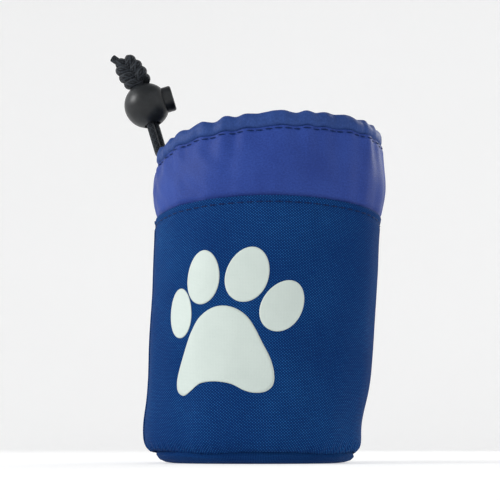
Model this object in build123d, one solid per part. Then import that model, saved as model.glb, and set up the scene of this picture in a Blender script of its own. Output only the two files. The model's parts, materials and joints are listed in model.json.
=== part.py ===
"""A treat pouch: an oval canvas bag with a nylon collar, a drawstring mouth and a belt strap.

Millimetres, +Z up. The pouch stands on its base, with the origin at the base's centre. The
front, with the paw print, faces -Y. The drawstring leaves at the -X end of the mouth. The belt
strap is on the back, at +Y.
"""

from build123d import *
import os
from math import cos, pi, radians, sin, tan

os.makedirs("parts", exist_ok=True)

# ---------------------------------------------------------------- driving dimensions
# Outer oval of the bag, as half width and half depth
BASE_HALF_WIDTH = 38.8  # at the base seam, which is turned in
BASE_HALF_DEPTH = 30.8
LOWER_HALF_WIDTH = 40.6  # just above the base
LOWER_HALF_DEPTH = 32.4
MIDDLE_HALF_WIDTH = 42.2
MIDDLE_HALF_DEPTH = 32.9
SHELL_TOP_HALF_WIDTH = 43.75
SHELL_TOP_HALF_DEPTH = 33.0
COLLAR_HALF_WIDTH = 45.7  # fullest part of the collar
COLLAR_HALF_DEPTH = 32.6
MOUTH_HALF_WIDTH = 44.4  # at the drawstring channel
MOUTH_HALF_DEPTH = 29.6

BASE_SEAM_Z = 4.0
LOWER_RISE = 5.5  # from the base seam to the lower oval
SHELL_TOP_Z = 92.5
COLLAR_FULL_RISE = 12.0  # from the shell's top edge to the fullest part of the collar
MOUTH_RISE = 32.1  # from the shell's top edge to the top of the mouth, at its centre
SIDE_LEAN = 5.0  # how far the top of the shell stands to +X of the base
MOUTH_TILT = 4.0  # degrees, down towards the cord end

# Fabric
CANVAS = 1.0
COLLAR_CLOTH = 0.7
LINER_CLOTH = 0.5
LAYER_GAP = 0.2
COLLAR_OVERLAP = 6.2  # how far the collar reaches down inside the shell
THREAD = 0.35
THREAD_WIDTH = 0.5
EDGE_STITCH_INSET = 2.4

# Base
BASE_FOOT_INSET = 6.0  # from the seam to the flat part it stands on
BASE_KNEE_INSET = 2.4
BASE_KNEE_RISE = 1.0
LINER_BASE_THICKNESS = 0.8

# Drawstring channel and cord
CHANNEL_HEIGHT = 6.4
CHANNEL_DEPTH = 5.6
CHANNEL_CLOTH = 0.6
CHANNEL_ROUND = 1.5
CHANNEL_EXIT_WIDTH = 10.4
CORD_DIAMETER = 3.0
CORD_FOLD_RADIUS = 3.0  # where a strand turns up out of the channel
CORD_CENTRES = 3.2  # between the two strands in the lock

# Cord lock
LOCK_DIAMETER = 18.0
LOCK_OUT = 4.1  # its centre, past the cord end of the mouth
LOCK_RISE = 15.6  # its centre, above the top of the mouth
LOCK_LEAN = 17.0  # degrees from upright, towards -X
STRAND_TURN = 35.0  # degrees from Y, of the line through the two strands
CORD_HOLE_DIAMETER = 6.7
PLUNGER_DIAMETER = 10.4
PLUNGER_FIT = 0.05  # radial
PLUNGER_TRAVEL = 2.0
PLUNGER_STAND_OUT = 2.3  # beyond the ball
PLUNGER_WALL = 1.2  # between the cord slot and the spring
PLUNGER_END_ROUND = 1.0
BORE_END_GAP = 0.15
SPRING_POCKET_DIAMETER = 5.4
SPRING_POCKET_DEPTH = 1.6
SPRING_DIAMETER = 4.4
SPRING_WIRE = 0.45
SPRING_TURNS = 3
SEAT_GAP = 0.05

# Stopper knot
KNOT_DIAMETER = 10.4
KNOT_LENGTH = 13.0
KNOT_ROUND = 1.9
KNOT_GAP = 0.3  # between the knot and the ball

# Belt strap
STRAP_X = 2.5
STRAP_WIDTH = 26.0
STRAP_CLOTH = 1.6
ANCHOR_LENGTH = 16.5  # from the shell's top edge down to the hinge line
BELT_SLOT = 38.0  # from the hinge line down to the patches
STRAP_TAIL = 2.7  # below the patches
HINGE_GAP = 0.3
PATCH_HEIGHT = 19.0
HOOK_SHORTER = 2.0  # the hook patch stops this far below the loop patch's top
PATCH_WIDTH = 22.0
LOOP_THICKNESS = 1.4
HOOK_THICKNESS = 1.2
PATCH_GAP = 0.3
BELT_SPACE = 6.3  # room for a belt behind the strap
BOW_STEPS = 10
STITCH_RISE = 1.2  # the anchor's lower stitch line, above the hinge line

# Side seam, at the cord end
SEAM_WIDTH = 4.6
SEAM_CLOTH = 0.6

# Paw print, laid out on a flat that faces out of the front
PRINT_TURN = 15.0  # degrees round from the front, towards -X
PRINT_THICKNESS = 0.2
PAD_ACROSS = -4.0
PAD_WIDTH = 36.0
PAD_BOTTOM_Z = 24.0
PAD_TOP_Z = 56.0
PAD_LOBE_RADIUS = 7.0
PAD_DOME_RADIUS = 10.5
PAD_WAIST_RISE = 4.4
# name: (across, height, width, length, tilt to the right in degrees)
TOES = {
    "print_toe_outer_left": (-22.5, 53.8, 9.6, 18.6, -6.0),
    "print_toe_inner_left": (-13.9, 66.2, 12.8, 20.0, -8.0),
    "print_toe_inner_right": (2.5, 66.5, 14.0, 20.6, 14.0),
    "print_toe_outer_right": (15.0, 55.3, 12.6, 19.4, 28.0),
}

# ---------------------------------------------------------------- worked-out sizes
FULL_Z = SHELL_TOP_Z + COLLAR_FULL_RISE
MOUTH_Z = SHELL_TOP_Z + MOUTH_RISE
LEAN_PER_MM = SIDE_LEAN / SHELL_TOP_Z
MOUTH_X = SIDE_LEAN
BIG = 400.0
ABOVE = 20.0  # how far the bag's oval is carried past the mouth, to be cut
COLLAR_OUT = -CANVAS - LAYER_GAP
LINER_TOP_Z = SHELL_TOP_Z - COLLAR_OVERLAP - LAYER_GAP
LINER_BASE_Z = BASE_SEAM_Z + LAYER_GAP
CHANNEL_MIDDLE = MOUTH_Z - CHANNEL_HEIGHT / 2
PLUNGER_BORE_RADIUS = PLUNGER_DIAMETER / 2 + PLUNGER_FIT
CORD_HOLE_RADIUS = CORD_HOLE_DIAMETER / 2
PLUNGER_BACK = -CORD_HOLE_RADIUS - PLUNGER_WALL
BORE_END = PLUNGER_BACK - PLUNGER_TRAVEL - BORE_END_GAP
LOCK_X = MOUTH_X - MOUTH_HALF_WIDTH - LOCK_OUT
LOCK_Z = MOUTH_Z + LOCK_RISE
STRAP_HINGE_Z = SHELL_TOP_Z - ANCHOR_LENGTH
PATCH_TOP_Z = STRAP_HINGE_Z - BELT_SLOT
PATCH_BOTTOM_Z = PATCH_TOP_Z - PATCH_HEIGHT
STRAP_END_Z = PATCH_BOTTOM_Z - STRAP_TAIL


def oval(half_width, half_depth, x, z):
    """A level ellipse, as a face."""
    return Pos(x, 0, z) * Ellipse(half_width, half_depth)


def slab(low, high):
    """Everything between two heights."""
    return Pos(0, 0, (low + high) / 2) * Box(BIG, BIG, high - low)


def block(x, y, z):
    """A box, from its (low, high) along each axis."""
    centre = [(low + high) / 2 for low, high in (x, y, z)]
    return Pos(*centre) * Box(*[high - low for low, high in (x, y, z)])


def stations():
    """Half width, half depth and height of the bag's outside, from the seam up."""
    return [
        (BASE_HALF_WIDTH, BASE_HALF_DEPTH, BASE_SEAM_Z),
        (LOWER_HALF_WIDTH, LOWER_HALF_DEPTH, BASE_SEAM_Z + LOWER_RISE),
        (MIDDLE_HALF_WIDTH, MIDDLE_HALF_DEPTH, SHELL_TOP_Z / 2),
        (SHELL_TOP_HALF_WIDTH, SHELL_TOP_HALF_DEPTH, SHELL_TOP_Z),
        (COLLAR_HALF_WIDTH, COLLAR_HALF_DEPTH, FULL_Z),
        (MOUTH_HALF_WIDTH, MOUTH_HALF_DEPTH, CHANNEL_MIDDLE),
        (MOUTH_HALF_WIDTH, MOUTH_HALF_DEPTH, MOUTH_Z + ABOVE),
    ]


def bag_solid(offset):
    """The bag's outside as a solid, grown outwards by offset."""
    sections = [
        oval(w + offset, d + offset, min(z, SHELL_TOP_Z) * LEAN_PER_MM, z)
        for w, d, z in stations()
    ]
    return loft(sections, ruled=True)


def wall(outer, inner, low, high):
    """A wall that follows the bag, between two offsets and two heights."""
    return (bag_solid(outer) - bag_solid(inner)) & slab(low, high)


def mouth_frame():
    """The tilted frame of the mouth, at the centre of the channel."""
    return Pos(MOUTH_X, 0, CHANNEL_MIDDLE) * Rot(0, -MOUTH_TILT, 0)


def mouth_ring(outer, inner, low, high):
    """A ring that follows the mouth, between two offsets, in the mouth's own frame."""
    ring = Ellipse(MOUTH_HALF_WIDTH + outer, MOUTH_HALF_DEPTH + outer) - Ellipse(
        MOUTH_HALF_WIDTH + inner, MOUTH_HALF_DEPTH + inner
    )
    return Pos(0, 0, low) * extrude(ring, high - low)


# ---------------------------------------------------------------- the bag
def make_outer_shell():
    """The canvas tube, from the base seam to its turned top edge."""
    return wall(0, -CANVAS, BASE_SEAM_Z, SHELL_TOP_Z)


def make_base_panel():
    foot = oval(BASE_HALF_WIDTH - BASE_FOOT_INSET, BASE_HALF_DEPTH - BASE_FOOT_INSET, 0, 0)
    knee = oval(
        BASE_HALF_WIDTH - BASE_KNEE_INSET, BASE_HALF_DEPTH - BASE_KNEE_INSET, 0, BASE_KNEE_RISE
    )
    rim = oval(BASE_HALF_WIDTH, BASE_HALF_DEPTH, 0, BASE_SEAM_Z - LAYER_GAP)
    return loft([foot, knee], ruled=True) + loft([knee, rim], ruled=True)


def make_liner_base():
    inset = CANVAS + 2 * LAYER_GAP
    plate = oval(BASE_HALF_WIDTH - inset, BASE_HALF_DEPTH - inset, 0, LINER_BASE_Z)
    return extrude(plate, LINER_BASE_THICKNESS)


def make_liner_bag():
    low = LINER_BASE_Z + LINER_BASE_THICKNESS + LAYER_GAP
    return wall(COLLAR_OUT, COLLAR_OUT - LINER_CLOTH, low, LINER_TOP_Z)


def make_collar():
    tube = wall(COLLAR_OUT, COLLAR_OUT - COLLAR_CLOTH, LINER_TOP_Z + LAYER_GAP, MOUTH_Z + ABOVE / 2)
    above = Pos(0, 0, BIG / 2 - CHANNEL_HEIGHT / 2 - LAYER_GAP) * Box(BIG, BIG, BIG)
    return tube - mouth_frame() * above


def make_channel():
    """The folded hem that holds the drawstring, open at the cord end."""
    half = CHANNEL_HEIGHT / 2
    ring = mouth_ring(0, -CHANNEL_DEPTH, -half, half)
    ring = fillet(ring.edges().group_by(Axis.Z)[-1], CHANNEL_ROUND)
    inside = mouth_ring(
        -CHANNEL_CLOTH, CHANNEL_CLOTH - CHANNEL_DEPTH, CHANNEL_CLOTH - half, half - CHANNEL_CLOTH
    )
    gap = CHANNEL_EXIT_WIDTH / 2
    exit_cut = block((-BIG, 0), (-gap, gap), (-BIG, BIG))
    return mouth_frame() * (ring - inside - exit_cut)


def make_side_seam():
    low, high = BASE_SEAM_Z + LOWER_RISE, SHELL_TOP_Z
    lap = wall(LAYER_GAP + SEAM_CLOTH, LAYER_GAP, low, high)
    return lap & block((-BIG, 0), (-SEAM_WIDTH / 2, SEAM_WIDTH / 2), (low, high))


# ---------------------------------------------------------------- stitching
def make_shell_edge_stitching():
    top = SHELL_TOP_Z - EDGE_STITCH_INSET
    ring = wall(LAYER_GAP + THREAD, LAYER_GAP, top - THREAD_WIDTH, top)
    seam = block((-BIG, 0), (-SEAM_WIDTH / 2 - 1, SEAM_WIDTH / 2 + 1), (0, BIG))
    half = STRAP_WIDTH / 2 + 1
    strap = block((STRAP_X - half, STRAP_X + half), (0, BIG), (0, BIG))
    return ring - seam - strap


def make_channel_stitching():
    low = EDGE_STITCH_INSET / 2 - CHANNEL_HEIGHT / 2
    ring = mouth_ring(LAYER_GAP + THREAD, LAYER_GAP, low, low + THREAD_WIDTH)
    gap = CHANNEL_EXIT_WIDTH / 2 + 1
    return mouth_frame() * (ring - block((-BIG, 0), (-gap, gap), (-BIG, BIG)))


def make_side_seam_stitching():
    low, high = BASE_SEAM_Z + LOWER_RISE + 1, SHELL_TOP_Z - 1
    base = LAYER_GAP + SEAM_CLOTH + LAYER_GAP / 2
    line = wall(base + THREAD, base, low, high)
    y = SEAM_WIDTH / 2 - 1
    return line & block((-BIG, 0), (y - THREAD_WIDTH, y), (low, high))


# ---------------------------------------------------------------- belt strap
def oval_at(z):
    """Half width and half depth of the shell at a height, on the straights between stations."""
    rows = stations()
    for (w0, d0, z0), (w1, d1, z1) in zip(rows, rows[1:]):
        if z0 <= z <= z1:
            t = (z - z0) / (z1 - z0)
            return w0 + (w1 - w0) * t, d0 + (d1 - d0) * t
    raise ValueError("height outside the bag")


def strap_curve(inside):
    """A solid bowed out from the back, with the given (offset, height) pairs, top to bottom."""
    sections = []
    for offset, z in inside:
        w, d = oval_at(z)
        sections.append(oval(w + offset, d + offset, z * LEAN_PER_MM, z))
    return loft(sections[::-1], ruled=True)


def strap_bow():
    """Offset and height of the strap's inner face, from the hinge down to its end."""
    patch = LAYER_GAP + LOOP_THICKNESS + PATCH_GAP + HOOK_THICKNESS + LAYER_GAP
    span = STRAP_HINGE_Z - PATCH_TOP_Z
    bulge = BELT_SPACE - (LAYER_GAP + patch) / 2
    bow = [(LAYER_GAP, STRAP_HINGE_Z + HINGE_GAP)]
    for step in range(1, BOW_STEPS + 1):
        down = step / BOW_STEPS
        straight = LAYER_GAP + (patch - LAYER_GAP) * down
        bow.append((straight + bulge * sin(pi * down), STRAP_HINGE_Z - span * down))
    return bow + [(patch, STRAP_END_Z - 1)]


def strap_layer(low_offset, high_offset):
    """A layer of the hanging flap, between two distances out from its inner face."""
    outer = strap_curve([(o + high_offset, z) for o, z in strap_bow()])
    return outer - strap_curve([(o + low_offset, z) for o, z in strap_bow()])


def back_block(width, low, high):
    """The part of the back that a strip of this width covers."""
    return block((STRAP_X - width / 2, STRAP_X + width / 2), (0, BIG), (low, high))


def make_strap_anchor():
    low, high = STRAP_HINGE_Z + HINGE_GAP, SHELL_TOP_Z - LAYER_GAP
    return wall(LAYER_GAP + STRAP_CLOTH, LAYER_GAP, low, high) & back_block(STRAP_WIDTH, low, high)


def make_anchor_stitching(z):
    base = LAYER_GAP + STRAP_CLOTH + LAYER_GAP / 2
    line = wall(base + THREAD, base, z, z + THREAD_WIDTH)
    return line & back_block(STRAP_WIDTH - 2, z, z + THREAD_WIDTH)


def make_belt_flap():
    return strap_layer(0, STRAP_CLOTH) & back_block(
        STRAP_WIDTH, STRAP_END_Z, STRAP_HINGE_Z - HINGE_GAP
    )


def make_hook_patch():
    return strap_layer(-LAYER_GAP - HOOK_THICKNESS, -LAYER_GAP) & back_block(
        PATCH_WIDTH, PATCH_BOTTOM_Z, PATCH_TOP_Z - HOOK_SHORTER
    )


def make_loop_patch():
    back = wall(LAYER_GAP + LOOP_THICKNESS, LAYER_GAP, PATCH_BOTTOM_Z, PATCH_TOP_Z)
    return back & back_block(PATCH_WIDTH, PATCH_BOTTOM_Z, PATCH_TOP_Z)


def make_flap_stitching():
    """A stitched box over the hook patch."""
    base = STRAP_CLOTH + LAYER_GAP / 2
    frame = back_block(PATCH_WIDTH, PATCH_BOTTOM_Z, PATCH_TOP_Z) - back_block(
        PATCH_WIDTH - 2 * THREAD_WIDTH, PATCH_BOTTOM_Z + THREAD_WIDTH, PATCH_TOP_Z - THREAD_WIDTH
    )
    return strap_layer(base, base + THREAD) & frame


# ---------------------------------------------------------------- paw print
def print_plane():
    """A flat in front of the pouch, its x to the right and its y up."""
    turn = radians(PRINT_TURN)
    away = LOWER_HALF_WIDTH * 2
    return Plane(
        origin=(-sin(turn) * away, -cos(turn) * away, 0),
        x_dir=(cos(turn), -sin(turn), 0),
        z_dir=(-sin(turn), -cos(turn), 0),
    )


def pressed_on(outline):
    """An outline on the print's flat, as a thin skin on the front of the shell."""
    skin = wall(LAYER_GAP + PRINT_THICKNESS, LAYER_GAP, PAD_BOTTOM_Z - 10, SHELL_TOP_Z - 10)
    reach = extrude(print_plane() * outline, -LOWER_HALF_WIDTH * 2)
    return skin & reach


def lean_at(z):
    """How far the oval's centre stands to +X at a height, seen on the print's flat."""
    return z * LEAN_PER_MM * cos(radians(PRINT_TURN))


def make_toe(across, height, width, length, tilt):
    outline = Pos(across + lean_at(height), height) * Rot(0, 0, -tilt) * Ellipse(width / 2, length / 2)
    return pressed_on(outline)


def make_pad():
    middle = PAD_ACROSS + lean_at(PAD_BOTTOM_Z)
    side = PAD_WIDTH / 2 - PAD_LOBE_RADIUS
    low = PAD_BOTTOM_Z + PAD_LOBE_RADIUS
    dome = Pos(middle, PAD_TOP_Z - PAD_DOME_RADIUS) * Circle(PAD_DOME_RADIUS)
    lobes = [Pos(middle + s * side, low) * Circle(PAD_LOBE_RADIUS) for s in (-1, 1)]
    whole = make_hull((Sketch() + [dome, *lobes]).edges())
    waist = Pos(middle, PAD_BOTTOM_Z) * Ellipse(side, PAD_WAIST_RISE)
    return pressed_on(whole - waist)


# ---------------------------------------------------------------- cord lock
LOCK_UP = Vector(-sin(radians(LOCK_LEAN)), 0, cos(radians(LOCK_LEAN)))
LOCK_ACROSS = Vector(cos(radians(LOCK_LEAN)), 0, sin(radians(LOCK_LEAN)))
LOCK_CENTRE = Vector(LOCK_X, 0, LOCK_Z)
LOCK_FRAME = Plane(origin=LOCK_CENTRE, x_dir=LOCK_ACROSS, z_dir=LOCK_UP)


def rod(radius, low, high):
    """A cylinder along the plunger's axis, in the lock's frame."""
    return Pos((low + high) / 2, 0, 0) * Rot(0, 90, 0) * Cylinder(radius, high - low)


def make_lock_body():
    ball = Sphere(LOCK_DIAMETER / 2)
    ball -= Cylinder(CORD_HOLE_RADIUS, LOCK_DIAMETER)
    ball -= rod(PLUNGER_BORE_RADIUS, BORE_END, LOCK_DIAMETER)
    ball -= rod(SPRING_POCKET_DIAMETER / 2, BORE_END - SPRING_POCKET_DEPTH, 0)
    return LOCK_FRAME.location * ball


def make_plunger():
    tip = LOCK_DIAMETER / 2 + PLUNGER_STAND_OUT
    stem = rod(PLUNGER_DIAMETER / 2, PLUNGER_BACK, tip)
    stem = fillet(stem.edges().group_by(Axis.X)[-1], PLUNGER_END_ROUND)
    slot = extrude(SlotCenterToCenter(PLUNGER_TRAVEL, CORD_HOLE_DIAMETER), LOCK_DIAMETER, both=True)
    return LOCK_FRAME.location * (stem - Pos(PLUNGER_TRAVEL / 2, 0, 0) * slot)


def make_spring():
    """The compression spring between the ball's pocket and the plunger."""
    low = BORE_END - SPRING_POCKET_DEPTH + SEAT_GAP + SPRING_WIRE / 2
    high = PLUNGER_BACK - SEAT_GAP - SPRING_WIRE / 2
    radius = (SPRING_DIAMETER - SPRING_WIRE) / 2
    coil = Helix(pitch=(high - low) / SPRING_TURNS, height=high - low, radius=radius)
    section = Plane(origin=coil @ 0, z_dir=coil % 0) * Circle(SPRING_WIRE / 2)
    spring = sweep(section, path=coil, is_frenet=True)
    return LOCK_FRAME.location * (Pos(low, 0, 0) * Rot(0, 90, 0) * spring)


# ---------------------------------------------------------------- cord
KNOT_LOW = LOCK_DIAMETER / 2 + KNOT_GAP


def strand(side):
    """Where a strand's centre lies across the lock: side is -1 in front and 1 behind."""
    turn = radians(STRAND_TURN)
    spread = side * CORD_CENTRES / 2
    return LOCK_CENTRE + LOCK_ACROSS * (spread * sin(turn)) + Vector(0, spread * cos(turn), 0)


def channel_middle(angle):
    """A point on the middle line of the channel. 0 is at +X and 90 at +Y."""
    inset = CHANNEL_DEPTH / 2
    across = (MOUTH_HALF_WIDTH - inset) * cos(radians(angle))
    back = (MOUTH_HALF_DEPTH - inset) * sin(radians(angle))
    return (mouth_frame() * Pos(across, back, 0)).position


def turn_radii(points):
    """The largest arc at each inner point that its two runs allow."""
    radii = []
    for before, here, after in zip(points, points[1:], points[2:]):
        into, out = here - before, after - here
        half = radians(into.get_angle(out)) / 2
        radii.append(0.45 * min(into.length, out.length) / tan(half))
    return radii


def tube(name, points, radii):
    """A cord along straight runs and tangent arcs."""
    path = FilletPolyline(*points, radius=radii)
    section = Plane(origin=path @ 0, z_dir=path % 0) * Circle(CORD_DIAMETER / 2)
    cord = sweep(section, path=path)
    ideal = pi * (CORD_DIAMETER / 2) ** 2 * path.length
    print(f"{name}: {path.length:.1f} mm, volume {cord.volume / ideal:.4f} of section x length")
    print(f"{name}: arc radii", [round(r, 1) for r in radii])
    return cord


def corner(side):
    """Where a strand turns up out of the channel, on its own line through the lock."""
    line = strand(side)
    drop = (line.Z - channel_middle(180).Z) / LOCK_UP.Z
    return line - LOCK_UP * drop


def tunnel_end(side):
    """Where a strand leaves the end of the tunnel."""
    meet = corner(side)
    inner = channel_middle(180 - side * 20)
    reach = (CHANNEL_EXIT_WIDTH / 2 + 0.4 - abs(meet.Y)) / (abs(inner.Y) - abs(meet.Y))
    return meet + (inner - meet) * reach


def make_loop():
    """The cord inside the channel, from one tunnel end round to the other."""
    inner = [channel_middle(180 + angle) for angle in range(20, 341, 20)]
    points = [tunnel_end(-1), *inner, tunnel_end(1)]
    return tube("drawstring_loop", points, turn_radii(points))


def make_tail(name, side):
    """A strand from its tunnel end, up through the ball, to the knot."""
    top = strand(side) + LOCK_UP * KNOT_LOW
    return tube(name, [tunnel_end(side), corner(side), top], [CORD_FOLD_RADIUS])


def make_knot():
    barrel = Cylinder(KNOT_DIAMETER / 2, KNOT_LENGTH)
    barrel = fillet(barrel.edges().filter_by(GeomType.CIRCLE), KNOT_ROUND)
    return LOCK_FRAME.location * (Pos(0, 0, KNOT_LOW + KNOT_LENGTH / 2) * barrel)


# ---------------------------------------------------------------- all nodes
NODES = {
    "outer_shell": make_outer_shell,
    "base_panel": make_base_panel,
    "liner_base": make_liner_base,
    "liner_bag": make_liner_bag,
    "collar": make_collar,
    "drawstring_channel": make_channel,
    "side_seam": make_side_seam,
    "shell_edge_stitching": make_shell_edge_stitching,
    "channel_stitching": make_channel_stitching,
    "side_seam_stitching": make_side_seam_stitching,
    "strap_anchor": make_strap_anchor,
    "anchor_stitching_low": lambda: make_anchor_stitching(STRAP_HINGE_Z + STITCH_RISE),
    "anchor_stitching_high": lambda: make_anchor_stitching(SHELL_TOP_Z - EDGE_STITCH_INSET),
    "loop_patch": make_loop_patch,
    "belt_flap": make_belt_flap,
    "hook_patch": make_hook_patch,
    "flap_stitching": make_flap_stitching,
    "print_pad": make_pad,
    "cord_lock_body": make_lock_body,
    "cord_lock_plunger": make_plunger,
    "cord_lock_spring": make_spring,
    "drawstring_loop": make_loop,
    "cord_tail_front": lambda: make_tail("cord_tail_front", -1),
    "cord_tail_back": lambda: make_tail("cord_tail_back", 1),
    "stopper_knot": make_knot,
}
NODES.update({name: lambda toe=toe: make_toe(*toe) for name, toe in TOES.items()})

for node, make in NODES.items():
    solid = make()
    solid.label = node
    export_step(solid, f"parts/{node}.step")
    print(f"{node}: {solid.volume:.1f} mm3")

print("lock axis", [round(v, 4) for v in LOCK_UP], "plunger axis", [round(v, 4) for v in LOCK_ACROSS])
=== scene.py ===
"""The looks of an oval treat pouch: canvas bag, nylon collar, drawstring, cord lock, belt strap."""

import json
import logging
import math
from collections.abc import Callable
from dataclasses import dataclass
from enum import Enum

import bmesh
import bpy
from mathutils import Matrix, Vector, noise


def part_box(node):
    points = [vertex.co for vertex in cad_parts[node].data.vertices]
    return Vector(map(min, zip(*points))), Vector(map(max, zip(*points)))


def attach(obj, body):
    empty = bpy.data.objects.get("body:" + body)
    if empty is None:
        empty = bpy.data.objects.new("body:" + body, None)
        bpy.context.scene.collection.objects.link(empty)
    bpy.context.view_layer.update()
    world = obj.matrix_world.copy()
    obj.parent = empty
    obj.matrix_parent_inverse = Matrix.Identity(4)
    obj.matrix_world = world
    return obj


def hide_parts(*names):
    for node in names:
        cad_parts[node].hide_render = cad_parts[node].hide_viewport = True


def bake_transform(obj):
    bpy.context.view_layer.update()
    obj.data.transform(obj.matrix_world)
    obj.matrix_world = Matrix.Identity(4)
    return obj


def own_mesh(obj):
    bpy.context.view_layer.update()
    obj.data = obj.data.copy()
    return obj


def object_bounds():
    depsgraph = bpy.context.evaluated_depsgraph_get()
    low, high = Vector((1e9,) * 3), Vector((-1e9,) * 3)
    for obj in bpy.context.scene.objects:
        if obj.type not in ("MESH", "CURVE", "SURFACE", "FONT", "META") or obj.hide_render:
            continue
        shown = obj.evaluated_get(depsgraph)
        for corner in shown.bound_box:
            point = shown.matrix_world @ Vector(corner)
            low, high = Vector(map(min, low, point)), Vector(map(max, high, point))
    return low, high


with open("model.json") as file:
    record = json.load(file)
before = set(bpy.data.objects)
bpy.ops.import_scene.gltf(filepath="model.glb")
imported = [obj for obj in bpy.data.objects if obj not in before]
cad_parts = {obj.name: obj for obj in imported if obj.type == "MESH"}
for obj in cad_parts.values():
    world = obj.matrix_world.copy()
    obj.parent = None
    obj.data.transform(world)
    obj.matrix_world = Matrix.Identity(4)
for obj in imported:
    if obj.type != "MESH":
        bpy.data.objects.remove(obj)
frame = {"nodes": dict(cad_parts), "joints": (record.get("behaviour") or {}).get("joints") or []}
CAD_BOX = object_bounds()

logging.basicConfig(level=logging.INFO, format="%(message)s")
LOG = logging.getLogger("treat_pouch")

MM = 0.001
FRONT = 0.0  # turns round the bag run from the front, -Y, towards +X
CORD_END = -math.pi / 2

Colour = tuple[float, float, float]
Place = Callable[[float, float], Vector]


class Body(Enum):
    """The bodies that pieces move with."""

    POUCH = "pouch"
    LOCK = "cord_lock"
    PLUNGER = "plunger"
    FLAP = "belt_flap"


class Slot(Enum):
    """The record's material slots."""

    CANVAS = "canvas"
    LINING = "lining"
    COLLAR = "collar_nylon"
    THREAD = "thread"
    STRAP = "strap_canvas"
    LOOP = "loop_tape"
    HOOK = "hook_tape"
    PRINT = "print"
    LOCK = "lock_plastic"
    SPRING = "spring_steel"
    CORD = "cord"


def linear(red: int, green: int, blue: int) -> Colour:
    """Turns a display colour, 0 to 255, into a shader colour.

    Args:
        red: red part.
        green: green part.
        blue: blue part.

    Returns:
        The colour in linear light.
    """

    def one(value: int) -> float:
        """Turns one channel."""
        share = value / 255
        return share / 12.92 if share <= 0.04045 else ((share + 0.055) / 1.055) ** 2.4

    return one(red), one(green), one(blue)


def smooth(low: float, high: float, value: float) -> float:
    """A smooth step from 0 at low to 1 at high."""
    share = min(1.0, max(0.0, (value - low) / (high - low)))
    return share * share * (3 - 2 * share)


# ------------------------------------------------------------------ shader maths
class Socket:
    """A shader value that Python's operators act on."""

    def __init__(self, bench: "Bench", link: bpy.types.NodeSocket) -> None:
        """Keeps the link and the bench that new nodes go on."""
        self.bench = bench
        self.link = link

    def maths(self, operation: str, *others: "Socket | float") -> "Socket":
        """Adds a Math node.

        Args:
            operation: the node's operation.
            others: its further inputs.

        Returns:
            The node's result.
        """
        return self.bench.maths(operation, self, *others)

    def __add__(self, other: "Socket | float") -> "Socket":
        """self + other."""
        return self.maths("ADD", other)

    __radd__ = __add__

    def __sub__(self, other: "Socket | float") -> "Socket":
        """self - other."""
        return self.maths("SUBTRACT", other)

    def __rsub__(self, other: "Socket | float") -> "Socket":
        """other - self."""
        return self.bench.maths("SUBTRACT", other, self)

    def __mul__(self, other: "Socket | float") -> "Socket":
        """self * other."""
        return self.maths("MULTIPLY", other)

    __rmul__ = __mul__

    def __truediv__(self, other: "Socket | float") -> "Socket":
        """self / other."""
        return self.maths("DIVIDE", other)

    def __pow__(self, other: "Socket | float") -> "Socket":
        """self ** other."""
        return self.maths("POWER", other)

    def __abs__(self) -> "Socket":
        """abs(self)."""
        return self.maths("ABSOLUTE")

    def __gt__(self, other: "Socket | float") -> "Socket":
        """1 where self is over other."""
        return self.maths("GREATER_THAN", other)

    def sine(self) -> "Socket":
        """The sine of self."""
        return self.maths("SINE")

    def rises(self, low: float, high: float) -> "Socket":
        """A smooth step from 0 at low to 1 at high."""
        settings = {"interpolation_type": "SMOOTHSTEP"}
        node = self.bench.node("ShaderNodeMapRange", settings, {0: self, 1: low, 2: high})
        return Socket(self.bench, node.outputs[0])


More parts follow.
